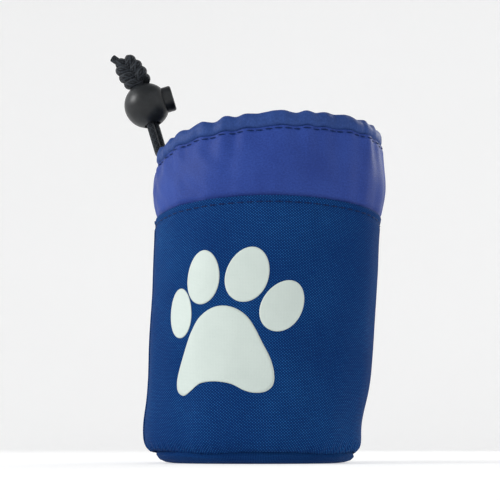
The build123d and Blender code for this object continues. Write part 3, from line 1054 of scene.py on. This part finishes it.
@dataclass
class Lining:
    """The plain nylon lining inside the canvas."""

    form: BagForm
    nylon: bpy.types.Material
    inset: float = 1.3
    cloth: float = 0.45
    floor_height: float = 4.3

    def wall(self) -> bpy.types.Object:
        """Wraps the lining inside the canvas, a little slack."""
        form = self.form
        girth = form.girth()

        def place(s: float, t: float) -> Vector:
            """Lays a point of the cut inside the bag."""
            turn = form.turn_at(-girth / 4 + s * girth)
            height = 5.0 + (form.edge(turn) - 6.4 - 5.0) * t
            slack = noise.noise(Vector((math.sin(turn) * 3.5, math.cos(turn) * 3.5, height * 0.05)))
            return form.at(turn, height, -self.inset - 0.7 * (slack + 0.6) * smooth(0, 0.15, t) * smooth(0, 0.15, 1 - t))

        piece = cut_sheet("lining_wall", 200, 60, (girth * MM, 0.08), place)
        tidy(piece, turn=False)
        finish_with(piece, "SOLIDIFY", thickness=self.cloth * MM, offset=-1.0)
        piece.data.shade_smooth()
        return dress(piece, self.nylon, Slot.LINING, Body.POUCH, "liner_bag")

    def floor(self) -> bpy.types.Object:
        """Lays the lining over the base."""

        def place(s: float, t: float) -> Vector:
            """Spreads a point out from the middle of the floor."""
            turn = CORD_END + 2 * math.pi * s
            soft = noise.noise(Vector((math.sin(turn) * t * 3, math.cos(turn) * t * 3, 0)))
            height = self.floor_height + 0.75 + 0.3 * soft
            return Vector((38.2 * t * math.sin(turn), -30.0 * t * math.cos(turn), height)) * MM

        piece = cut_sheet("lining_floor", 120, 24, (0.22, 0.035), place)
        tidy(piece, turn=False)
        finish_with(piece, "SOLIDIFY", thickness=self.cloth * MM, offset=-1.0)
        piece.data.shade_smooth()
        return dress(piece, self.nylon, Slot.LINING, Body.POUCH, "liner_base")

    def build(self) -> None:
        """Makes the lining's pieces."""
        self.wall()
        self.floor()


@dataclass
class BeltStrap:
    """The folded canvas strap on the back, with its patches and stitching."""

    form: BagForm
    canvas: bpy.types.Material
    thread: bpy.types.Material
    loop: bpy.types.Material
    hook: bpy.types.Material
    width: float = 26.0
    cloth: float = 1.6
    top: float = 94.6
    hinge: float = 76.0
    patch_top: float = 38.0
    patch_bottom: float = 19.0
    end: float = 16.3
    bulge: float = 4.55
    patch_lift: float = 3.3
    gap: float = 0.25
    side_inset: float = 2.4

    def lift(self, height: float) -> float:
        """How far the strap's inner face stands off the bag."""
        if height >= self.hinge:
            return self.gap
        if height <= self.patch_top:
            return self.patch_lift
        down = (self.hinge - height) / (self.hinge - self.patch_top)
        return self.gap + (self.patch_lift - self.gap) * down + self.bulge * math.sin(math.pi * down)

    def at(self, across: float, height: float, out: float) -> Vector:
        """A point on the strap.

        Args:
            across: millimetres from the strap's middle, towards -X.
            height: millimetres above the base.
            out: millimetres out from its inner face.

        Returns:
            The point, in metres.
        """
        width, depth = self.form.oval(height)
        lift = self.lift(height) + out
        share = (self.form.strap_x - across - self.form.middle(height)) / (width + lift)
        y = (depth + lift) * math.sqrt(1 - share * share)
        return Vector((self.form.strap_x - across, y, height)) * MM

    def section(self, s: float) -> tuple[float, float]:
        """A point round the band's rounded section, at an even pace from the inner face's edge.

        Args:
            s: share of the way round.

        Returns:
            Millimetres across from the middle, and out from the middle of the cloth.
        """
        bend = self.cloth * 0.45
        flat, rise = self.width - 2 * bend, self.cloth - 2 * bend
        quarter = math.pi / 2 * bend
        way = (s % 1.0) * 2 * (flat + rise + 2 * quarter)
        # middle of the first corner, and the side that leads from it
        corners = ((1, -1, -90, rise), (1, 1, 0, flat), (-1, 1, 90, rise), (-1, -1, 180, flat))
        for x, y, first, side in corners:
            spot = (x * flat / 2, y * rise / 2)
            if way <= quarter:
                angle = math.radians(first) + way / bend
                return spot[0] + bend * math.cos(angle), spot[1] + bend * math.sin(angle)
            way -= quarter
            angle = math.radians(first + 90)
            if way <= side:
                return (
                    spot[0] + bend * math.cos(angle) - way * math.sin(angle),
                    spot[1] + bend * math.sin(angle) + way * math.cos(angle),
                )
            way -= side
        return flat / 2, -self.cloth / 2

    def band(self) -> bpy.types.Object:
        """Makes the strap as one folded band from the bag's top edge to its free end."""
        round_edge = 0.55
        girth = 2 * (self.width + self.cloth)

        def place(s: float, t: float) -> Vector:
            """Goes once round the band's section at each height."""
            height = self.top + (self.end - self.top) * t
            across, thick = self.section(s)
            edge = smooth(self.width / 2 - self.side_inset - 1.3, self.width / 2 - self.side_inset, abs(across))
            edge *= 1 - smooth(self.width / 2 - self.side_inset, self.width / 2 - 0.6, abs(across))
            outer = smooth(-0.2, 0.5, thick)
            dents = [self.hinge + 1.4, self.patch_top - 0.4, self.patch_bottom + 0.3]
            dip = sum(math.exp(-(((height - d) / 0.8) ** 2)) for d in dents) * 0.42
            dip += 0.7 * math.exp(-(((height - self.hinge) / 0.45) ** 2))
            wave = 0.12 * noise.noise(Vector((across * 0.2, height * 0.12, 3.0)))
            ends = smooth(self.end, self.end + round_edge, height)
            thick *= 0.55 + 0.45 * ends
            return self.at(across, height, self.cloth / 2 + thick - outer * (dip + 0.25 * edge) + wave)

        piece = cut_sheet("belt_strap_band", 112, 160, (girth * MM, (self.top - self.end) * MM), place)
        tidy(piece)
        only(piece)
        bpy.ops.object.mode_set(mode="EDIT")
        bpy.ops.mesh.select_all(action="DESELECT")
        bpy.ops.mesh.select_non_manifold()
        bpy.ops.mesh.fill_holes(sides=0)
        bpy.ops.mesh.select_all(action="SELECT")
        bpy.ops.mesh.normals_make_consistent(inside=False)
        bpy.ops.object.mode_set(mode="OBJECT")
        bpy.ops.object.shade_smooth_by_angle(angle=math.radians(50))
        dress(piece, self.canvas, Slot.STRAP, Body.POUCH, "strap_anchor", "belt_flap")
        return piece

    def cross(self, across: float, height: float, upright: bool) -> tuple[Vector, Vector, Vector]:
        """A stitch's centre, direction and normal on the strap's outer face."""
        out = self.cloth - 0.14
        here = self.at(across, height, out)
        side = (self.at(across + 0.5, height, out) - here).normalized()
        up = (self.at(across, height + 0.5, out) - here).normalized()
        return here, up if upright else side, up.cross(side) * -1 if up.cross(side).y < 0 else up.cross(side)

    def row(self, height: float, half: float) -> list[tuple[Vector, Vector, Vector]]:
        """A level row of stitches."""
        count = round(2 * half / 3.4)
        pitch = 2 * half / count
        return [self.cross(-half + (n + 0.5) * pitch, height, False) for n in range(count)]

    def column(self, across: float, low: float, high: float) -> list[tuple[Vector, Vector, Vector]]:
        """An upright row of stitches."""
        count = round((high - low) / 3.4)
        pitch = (high - low) / count
        return [self.cross(across, low + (n + 0.5) * pitch, True) for n in range(count)]

    def stitches(self) -> None:
        """Sews the strap to the bag, along its edges and round the patch."""
        stitch = Stitch()
        half = self.width / 2 - self.side_inset
        upper = stitch.sew("strap_top_stitches", self.row(self.top - 2.3, self.width / 2 - 0.8))
        dress(upper, self.thread, Slot.THREAD, Body.POUCH, "anchor_stitching_high")
        anchor = self.row(self.hinge + 1.4, self.width / 2 - 1.0)
        for side in (-half, half):
            anchor += self.column(side, self.hinge + 3, self.top - 4)
        lower = stitch.sew("strap_anchor_stitches", anchor)
        dress(lower, self.thread, Slot.THREAD, Body.POUCH, "anchor_stitching_low")
        box = self.row(self.patch_top - 0.4, half) + self.row(self.patch_bottom + 0.3, half)
        for side in (-half, half):
            box += self.column(side, self.patch_bottom + 0.3, self.hinge - 2.5)
        flap = stitch.sew("strap_flap_stitches", box)
        dress(flap, self.thread, Slot.THREAD, Body.FLAP, "flap_stitching")

    def build(self) -> None:
        """Makes the strap and its stitching, finishes the patches, and bakes the band's place into its mesh."""
        band = self.band()
        self.stitches()
        dress_node("loop_patch", self.loop)
        dress_node("hook_patch", self.hook)
        band.parent = None
        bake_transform(band)


@dataclass(frozen=True)
class Toe:
    """One toe of the print: its middle, half sizes in millimetres and tilt to the right."""

    name: str
    arc: float
    height: float
    half_width: float
    half_length: float
    tilt: float


@dataclass
class PawPrint:
    """A plain paw of four toes and a pad, pressed on the front."""

    form: BagForm
    film: bpy.types.Material
    toes: tuple[Toe, ...] = (
        Toe("print_toe_outer_left", -31.7, 53.6, 5.0, 9.1, -4.0),
        Toe("print_toe_inner_left", -22.7, 66.1, 6.5, 9.85, 1.0),
        Toe("print_toe_inner_right", -6.2, 66.5, 7.7, 10.05, 14.0),
        Toe("print_toe_outer_right", 6.8, 55.2, 7.35, 9.6, 28.0),
    )
    pad_arc: float = -14.0
    pad_height: float = 39.5
    # the pad's edge in millimetres, round from its top towards the right
    pad_edge: tuple[tuple[float, float], ...] = (
        (-14.7, 55.4), (-9.8, 54.3), (-5.4, 51.2), (-2.3, 46.8), (0.4, 41.9), (3.4, 36.6), (5.1, 31.2),
        (4.9, 27.2), (2.5, 25.0), (-1.4, 24.5), (-5.4, 25.4), (-10.3, 27.7), (-16.6, 28.6), (-21.9, 27.9),
        (-25.5, 25.5), (-28.7, 23.8), (-31.3, 25.2), (-32.0, 28.3), (-31.3, 32.1), (-29.3, 38.3),
        (-27.8, 42.8), (-26.3, 46.5), (-23.5, 51.2), (-19.2, 54.4),
    )
    film_out: float = 0.16
    thickness: float = 0.14

    def press(self, name: str, outline: Callable[[float], Vector], middle: tuple[float, float]) -> bpy.types.Object:
        """Presses an outline on the canvas.

        Args:
            name: the piece's name.
            outline: the edge, in arc and height from the middle, at a turn of 0 to 1.
            middle: the middle's arc and height.

        Returns:
            The film.
        """

        def place(s: float, t: float) -> Vector:
            """Lays a point on the canvas, from the middle out to the edge."""
            reach = t * 1.0
            edge = outline(s)
            arc, height = middle[0] + edge.x * reach, middle[1] + edge.y * reach
            return self.form.at(self.form.turn_at(arc), height, self.film_out)

        piece = cut_sheet(name + "_film", 120, 16, (0.03, 0.03), place)
        layer = piece.data.uv_layers.active.data
        for loop in piece.data.loops:
            point = piece.data.vertices[loop.vertex_index].co
            layer[loop.index].uv = (point.x, point.z)
        tidy(piece)
        finish_with(piece, "SOLIDIFY", thickness=self.thickness * MM, offset=-1.0)
        piece.data.shade_smooth()
        return dress(piece, self.film, Slot.PRINT, Body.POUCH, name)

    def toe_outline(self, toe: Toe) -> Callable[[float], Vector]:
        """The edge of a toe."""
        tilt = math.radians(-toe.tilt)

        def outline(s: float) -> Vector:
            """A slightly egg-shaped oval, narrower at the top."""
            angle = 2 * math.pi * s
            x = toe.half_width * math.cos(angle) * (1 - 0.06 * math.sin(angle))
            y = toe.half_length * math.sin(angle)
            return Vector((x * math.cos(tilt) - y * math.sin(tilt), x * math.sin(tilt) + y * math.cos(tilt), 0))

        return outline

    def pad_outline(self, s: float) -> Vector:
        """The edge of the pad, on a smooth curve through its points."""
        count = len(self.pad_edge)
        index, t = divmod((s % 1.0) * count, 1.0)
        near = [Vector((*self.pad_edge[(int(index) + step) % count], 0)) for step in (-1, 0, 1, 2)]
        bend = near[0] * (-t + 2 * t**2 - t**3) + near[1] * (2 - 5 * t**2 + 3 * t**3)
        bend += near[2] * (t + 4 * t**2 - 3 * t**3) + near[3] * (t**3 - t**2)
        return bend / 2 - Vector((self.pad_arc, self.pad_height, 0))

    def build(self) -> None:
        """Presses the toes and the pad."""
        for toe in self.toes:
            self.press(toe.name, self.toe_outline(toe), (toe.arc, toe.height))
        self.press("print_pad", self.pad_outline, (self.pad_arc, self.pad_height))


# ------------------------------------------------------------------ cord and lock
@dataclass(frozen=True)
class LockFrame:
    """Where the cord lock sits: its centre, the cord's direction and the plunger's."""

    centre: Vector
    up: Vector
    across: Vector

    def matrix(self) -> Matrix:
        """The lock's frame: x along the plunger, z along the cord."""
        side = self.up.cross(self.across)
        shape = Matrix((self.across, side, self.up)).transposed().to_4x4()
        shape.translation = self.centre
        return shape


def tube_mesh(name: str, line: list[Vector], radius: float, around: int = 20) -> bpy.types.Object:
    """Makes a closed tube along a line, with its UV map in metres round and along it.

    Args:
        name: the piece's name.
        line: the points it follows.
        radius: its radius.
        around: its sides.

    Returns:
        The tube.
    """
    deselect()
    bpy.ops.mesh.primitive_grid_add(x_subdivisions=around, y_subdivisions=len(line) - 1, size=2, calc_uvs=True)
    tube = bpy.context.object
    tube.name = tube.data.name = name
    lengths = [0.0]
    for a, b in zip(line, line[1:]):
        lengths.append(lengths[-1] + (b - a).length)
    frames = []
    side = (line[1] - line[0]).normalized().orthogonal().normalized()
    for index, point in enumerate(line):
        ahead = (line[min(index + 1, len(line) - 1)] - line[max(index - 1, 0)]).normalized()
        side = (side - ahead * side.dot(ahead)).normalized()
        frames.append((point, side, ahead.cross(side)))
    steps = len(line) - 1
    for corner in tube.data.uv_layers.active.data:
        row = min(steps, max(0, round(corner.uv[1] * steps)))
        corner.uv = (corner.uv[0] * 2 * math.pi * radius, lengths[row])
    for point in tube.data.vertices:
        row = min(steps, max(0, round((point.co.y + 1) / 2 * steps)))
        angle = (point.co.x + 1) * math.pi
        centre, first, second = frames[row]
        point.co = centre + (first * math.cos(angle) + second * math.sin(angle)) * radius
    only(tube)
    bpy.ops.object.mode_set(mode="EDIT")
    bpy.ops.mesh.select_all(action="SELECT")
    bpy.ops.mesh.remove_doubles(threshold=1e-6)
    bpy.ops.mesh.select_all(action="DESELECT")
    bpy.ops.mesh.select_non_manifold()
    bpy.ops.mesh.fill_holes(sides=0)
    bpy.ops.mesh.select_all(action="SELECT")
    bpy.ops.mesh.normals_make_consistent(inside=False)
    bpy.ops.object.mode_set(mode="OBJECT")
    bpy.ops.object.shade_smooth_by_angle(angle=math.radians(60))
    return tube


def spline_line(points: list[Vector], steps: int = 12) -> list[Vector]:
    """Reads points along a NURBS spline that has the given control points.

    Args:
        points: the route's points, in metres.
        steps: points read for each control point.

    Returns:
        Points along the spline.
    """
    curve = bpy.data.curves.new("route", "CURVE")
    curve.dimensions = "3D"
    spline = curve.splines.new("NURBS")
    spline.points.add(len(points) - 1)
    for control, point in zip(spline.points, points):
        control.co = (*point, 1.0)
    spline.order_u = 3
    spline.use_endpoint_u = True
    spline.resolution_u = steps
    route = bpy.data.objects.new("route", curve)
    mesh = bpy.data.meshes.new_from_object(route)
    line = [v.co.copy() for v in mesh.vertices]
    bpy.data.objects.remove(route)
    bpy.data.curves.remove(curve)
    bpy.data.meshes.remove(mesh)
    return line


# the strands' points in metres, from the tunnel's ends through the lock to the knot
FRONT_ROUTE = (
    (-0.03573, -0.0056, 0.11859),
    (-0.03783, -0.00131, 0.1185),
    (-0.03923, -0.00131, 0.12309),
    (-0.0471, -0.00131, 0.14883),
)
BACK_ROUTE = (
    (-0.03486, 0.0056, 0.11859),
    (-0.03591, 0.00131, 0.1185),
    (-0.03731, 0.00131, 0.12309),
    (-0.04534, 0.00131, 0.14936),
)


@dataclass
class Drawstring:
    """The doubled cord from the channel up through the lock, and the knot that ends it."""

    lock: LockFrame
    form: BagForm
    braid: bpy.types.Material
    diameter: float = 3.0 * MM
    knot_low: float = 9.3 * MM
    knot_length: float = 13.0 * MM
    length: float = 0.0355

    def route(self, node: str) -> list[Vector]:
        """The strand's own points: tunnel end, fold, a little up the run, and the knot."""
        return [Vector(point) for point in (FRONT_ROUTE if node == "cord_tail_front" else BACK_ROUTE)]

    def tail(self, node: str) -> bpy.types.Object:
        """Makes one free strand."""
        line = spline_line(self.route(node), 24)
        piece = tube_mesh(node + "_braid", line, self.diameter / 2)
        dress(piece, self.braid, Slot.CORD, Body.POUCH, node)
        tuple(line[0])
        [tuple(p) for p in line]
        return piece

    def knot(self) -> bpy.types.Object:
        """Ties the doubled cord in a fat knot of lumps, with one cut end out of its top."""
        low = self.lock.centre + self.lock.up * (self.knot_low - 0.6 * MM)
        axis = (self.lock.up - self.lock.across * 0.33).normalized()
        side = axis.cross(Vector((0, 1, 0))).normalized()
        front = axis.cross(side)
        strands = []
        steps = 90
        for strand in range(3):
            line = []
            for step in range(steps + 1):
                share = step / steps
                angle = 2 * math.pi * (share * 1.15 + strand / 3)
                swell = 0.45 + 0.55 * math.sin(math.pi * min(1.0, 0.12 + share * 0.86)) ** 0.6
                out = side * (3.5 * MM * math.sin(angle)) + front * (2.0 * MM * math.sin(2 * angle))
                line.append(low + axis * (self.knot_length * (0.06 + 0.88 * share)) + out * swell)
            strands.append(line)
        top = low + axis * (self.knot_length * 0.86)
        lean = (axis + side * 0.35).normalized()
        if side.x > 0:
            lean = (axis - side * 0.35).normalized()
        parts = [tube_mesh(f"knot_strand_{n}", line, 2.3 * MM, 16) for n, line in enumerate(strands)]
        cut = [top + lean * (step * 0.9 * MM) for step in range(6)]
        parts.append(tube_mesh("knot_cut_end", [point - Vector((1.6 * MM, 0, 0)) for point in cut], self.diameter / 2, 16))
        deselect()
        for part in parts:
            part.select_set(True)
        bpy.context.view_layer.objects.active = parts[0]
        bpy.ops.object.join()
        knot = bpy.context.object
        knot.name = knot.data.name = "stopper_knot_tied"
        return dress(knot, self.braid, Slot.CORD, Body.POUCH, "stopper_knot")

    def loop(self, ends: list[Vector]) -> bpy.types.Object:
        """Runs the cord round inside the channel, from one strand's start to the other's."""
        line = [ends[0]]
        steps = 120
        for step in range(4, steps - 3):
            turn = CORD_END + 2 * math.pi * (step / steps)
            line.append(self.form.at(turn, self.form.rim(turn) - 3.1, -2.85, 0.6))
        line.append(ends[1])
        piece = tube_mesh("drawstring_cord", line, self.diameter / 2 * 0.95, 12)
        return dress(piece, self.braid, Slot.CORD, Body.POUCH, "drawstring_loop")

    def build(self, lock: list[bpy.types.Object]) -> None:
        """Makes the knot, both strands and the cord inside the channel."""
        knot = self.knot()
        for node in ("cord_tail_front", "cord_tail_back"):
            self.tail(node)
        self.loop([self.route("cord_tail_front")[0], self.route("cord_tail_back")[0]])


@dataclass
class CordLock:
    """The ball lock: a drilled ball, its plunger and its spring."""

    lock: LockFrame
    plastic: bpy.types.Material
    steel: bpy.types.Material
    radius: float = 9.0 * MM
    cord_hole: float = 3.35 * MM
    bore: float = 5.25 * MM
    bore_end: float = -6.7 * MM
    plunger_radius: float = 5.1 * MM
    plunger_back: float = -4.55 * MM
    plunger_tip: float = 11.0 * MM
    travel: float = 2.0 * MM
    pocket: float = 2.7 * MM
    pocket_end: float = -8.3 * MM
    spring_low: float = -8.0 * MM
    spring_high: float = -4.85 * MM
    spring_radius: float = 1.97 * MM
    wire: float = 0.45 * MM
    coils: int = 3

    def drill(self, radius: float, low: float, high: float, along: str) -> bpy.types.Object:
        """Makes a round cutter along x or z of the lock's frame."""
        deselect()
        turn = (0, math.pi / 2, 0) if along == "x" else (0, 0, 0)
        middle = (low + high) / 2
        spot = (middle, 0, 0) if along == "x" else (0, 0, middle)
        bpy.ops.mesh.primitive_cylinder_add(vertices=64, radius=radius, depth=high - low, location=spot, rotation=turn)
        cutter = bpy.context.object
        settle(cutter, Matrix.Identity(4))
        return cutter

    def cut(self, piece: bpy.types.Object, cutter: bpy.types.Object) -> None:
        """Cuts a piece with a cutter, and takes the cutter away."""
        finish_with(piece, "BOOLEAN", object=cutter, operation="DIFFERENCE", solver="EXACT")
        bpy.data.objects.remove(cutter)

    def ball(self) -> bpy.types.Object:
        """Turns the ball, with a flat shoulder round the plunger, and drills it."""
        deselect()
        bpy.ops.mesh.primitive_uv_sphere_add(segments=96, ring_count=48, radius=self.radius)
        ball = bpy.context.object
        ball.name = ball.data.name = "cord_lock_ball"
        for point in ball.data.vertices:
            point.co.x = min(point.co.x, 7.2 * MM)
        self.cut(ball, self.drill(self.cord_hole, -12 * MM, 12 * MM, "z"))
        self.cut(ball, self.drill(self.bore, self.bore_end, 14 * MM, "x"))
        self.cut(ball, self.drill(self.pocket, self.pocket_end, 0.0, "x"))
        finish_with(ball, "BEVEL", width=0.3 * MM, segments=3, limit_method="ANGLE", angle_limit=math.radians(35))
        settle(ball, self.lock.matrix())
        only(ball)
        bpy.ops.object.shade_smooth_by_angle(angle=math.radians(40))
        return dress(ball, self.plastic, Slot.LOCK, Body.LOCK, "cord_lock_body")

    def plunger(self) -> bpy.types.Object:
        """Turns the plunger: a dished button and the cord's slot."""
        plunger = self.drill(self.plunger_radius, self.plunger_back, self.plunger_tip, "x")
        plunger.name = plunger.data.name = "cord_lock_button"
        finish_with(plunger, "BEVEL", width=0.85 * MM, segments=4, limit_method="ANGLE", angle_limit=math.radians(60))
        only(plunger)
        bpy.ops.object.mode_set(mode="EDIT")
        bpy.ops.mesh.select_all(action="DESELECT")
        bpy.ops.object.mode_set(mode="OBJECT")
        for face in plunger.data.polygons:
            face.select = face.normal.x > 0.99 and face.center.x > 0
        bpy.ops.object.mode_set(mode="EDIT")
        bpy.ops.mesh.inset(thickness=0.5 * MM)
        bpy.ops.mesh.inset(thickness=0.9 * MM)
        bpy.ops.transform.translate(value=(-0.35 * MM, 0, 0))
        bpy.ops.object.mode_set(mode="OBJECT")
        slot = self.drill(self.cord_hole, -12 * MM, 12 * MM, "z")
        for point in slot.data.vertices:
            point.co.x += self.travel if point.co.x > 0 else 0
        self.cut(plunger, slot)
        finish_with(plunger, "BEVEL", width=0.2 * MM, segments=3, limit_method="ANGLE", angle_limit=math.radians(35))
        settle(plunger, self.lock.matrix())
        only(plunger)
        bpy.ops.object.shade_smooth_by_angle(angle=math.radians(40))
        return dress(plunger, self.plastic, Slot.LOCK, Body.PLUNGER, "cord_lock_plunger")

    def spring(self) -> bpy.types.Object:
        """Winds the spring."""
        shape = self.lock.matrix()
        low, high = self.spring_low + self.wire / 2, self.spring_high - self.wire / 2
        line = []
        steps = 24 * self.coils
        for step in range(steps + 1):
            share = step / steps
            angle = 2 * math.pi * self.coils * share
            spot = Vector((low + (high - low) * share, math.cos(angle), math.sin(angle)))
            line.append(shape @ Vector((spot.x, spot.y * self.spring_radius, spot.z * self.spring_radius)))
        spring = tube_mesh("cord_lock_coil", line, self.wire / 2, 8)
        dress(spring, self.steel, Slot.SPRING, Body.LOCK, "cord_lock_spring")
        whole = self.spring_high - self.spring_low
        keep = (whole - self.travel) / whole
        tuple(self.lock.across)
        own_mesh(spring)
        return spring

    def build(self) -> list[bpy.types.Object]:
        """Makes the lock's pieces, and gives those that the cord carries."""
        self.spring()
        return [self.ball(), self.plunger()]


# ------------------------------------------------------------------ the studio
@dataclass
class Studio:
    """A pale seamless floor, soft lights and a low camera in front."""

    target: Vector
    camera_spot: Vector
    lens: float = 76.0
    floor_reach: float = 3.0

    def floor(self) -> None:
        """Lays a wide floor that curves up far away on every side."""
        flat = self.floor_reach * 0.55

        def place(s: float, t: float) -> Vector:
            """Goes out from the middle, then up."""
            reach = t * self.floor_reach
            rise = max(0.0, reach - flat) ** 2 * 2.4
            angle = 2 * math.pi * s
            return Vector((reach * math.cos(angle), reach * math.sin(angle), rise))

        sweep = cut_sheet("floor", 96, 60, (1.0, 1.0), place)
        tidy(sweep)
        bench = Bench("pale_floor")
        tone = bench.noise(2.0, 1.0)
        colour = bench.mix(tone, (0.6, 0.6, 0.6), (0.63, 0.63, 0.63))
        constants = {"Emission Color": (1.0, 1.0, 1.0), "Emission Strength": 0.42, "Specular IOR Level": 0.1}
        sweep.data.materials.append(bench.finish(colour, 0.9, constants=constants))

    def light(self, name: str, spot: Vector, size: float, power: float) -> None:
        """Hangs a square soft light that faces the pouch.

        Args:
            name: the light's name.
            spot: where it hangs.
            size: its side in metres.
            power: its power in watts.
        """
        lamp = bpy.data.lights.new(name, "AREA")
        lamp.size, lamp.energy = size, power
        hung = bpy.data.objects.new(name, lamp)
        hung.location = spot
        hung.rotation_euler = (self.target - spot).to_track_quat("-Z", "Y").to_euler()
        bpy.context.collection.objects.link(hung)

    def camera(self) -> None:
        """Sets the camera low in front, looking a little up."""
        view = bpy.data.cameras.new("camera")
        view.lens, view.sensor_width = self.lens, 36.0
        view.clip_start = 0.01
        stand = bpy.data.objects.new("camera", view)
        stand.location = self.camera_spot
        stand.rotation_euler = (self.target - self.camera_spot).to_track_quat("-Z", "Y").to_euler()
        bpy.context.collection.objects.link(stand)
        bpy.context.scene.camera = stand

    def build(self) -> None:
        """Makes the studio."""
        self.camera()
        self.floor()
        self.light("key", Vector((-0.85, -0.3, 0.5)), 0.4, 5.2)
        self.light("fill", Vector((0.7, -0.7, 0.35)), 0.8, 0.3)
        self.light("back", Vector((0.6, 0.65, 0.6)), 0.4, 2.6)
        world = bpy.data.worlds.new("soft_room")
        world.use_nodes = True
        world.node_tree.nodes["Background"].inputs[0].default_value = (0.95, 0.97, 1.0, 1.0)
        world.node_tree.nodes["Background"].inputs[1].default_value = 0.3
        bpy.context.scene.world = world
        bpy.context.scene.view_settings.view_transform = "Standard"


def lock_frame() -> LockFrame:
    """Reads the lock's directions from the joints, and its centre from the ball's box."""
    joints = {joint["name"]: joint for joint in frame["joints"]}
    up = Vector(joints["cord_lock_slide"]["axis"]).normalized()
    across = -Vector(joints["plunger_press"]["axis"]).normalized()
    low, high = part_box("cord_lock_body")
    radius = (high[1] - low[1]) / 2
    centre = Vector((low[0] + radius, (low[1] + high[1]) / 2, high[2] - radius))
    return LockFrame(centre, up, across)


def main() -> None:
    """Builds the pouch, sub-assembly by sub-assembly."""
    low, high = CAD_BOX
    middle = Vector(((low[0] + high[0]) / 2, 0.0, (low[2] + high[2]) / 2))
    Studio(target=middle, camera_spot=Vector((0.0043, -0.404, 0.006))).build()
    form = BagForm()
    canvas = Canvas("canvas_royal", linear(5, 43, 98), linear(36, 98, 160)).material()
    strap = Canvas("canvas_strap", linear(5, 41, 96), linear(34, 94, 156)).material()
    nylon = Nylon("nylon_collar", linear(30, 53, 124), linear(47, 74, 151)).material()
    # painted shade: the hem is a darker, duller copy of the collar's nylon
    hem = Nylon("nylon_hem_painted_shade", linear(31, 57, 114), linear(48, 76, 140)).material()
    lining = Nylon("nylon_lining", linear(36, 58, 128), linear(56, 80, 152)).material()
    thread = Thread("sewing_thread", linear(4, 26, 70), linear(14, 46, 100)).material()
    braid = Braid("cord_braid", linear(10, 12, 16), linear(62, 68, 76)).material()
    plastic = Moulded("lock_plastic", linear(17, 20, 23), linear(50, 55, 59)).material()
    film = Film("print_film", linear(202, 213, 207), linear(178, 191, 185)).material()
    loop = Tape("loop_tape_nap", linear(6, 26, 66), linear(18, 50, 108), hooks=False).material()
    hook = Tape("hook_tape_rows", linear(5, 20, 54), linear(22, 50, 100), hooks=True).material()
    steel = Steel("spring_wire", (0.62, 0.62, 0.64)).material()
    lock = lock_frame()
    pieces = CordLock(lock, plastic, steel).build()
    Drawstring(lock, form, braid).build(pieces)
    Bag(form, canvas, thread).build()
    Collar(form, nylon, hem, thread).build()
    Lining(form, lining).build()
    BeltStrap(form, strap, thread, loop, hook).build()
    PawPrint(form, film).build()


if __name__ == "__main__":
    main()
    bpy.context.view_layer.update()
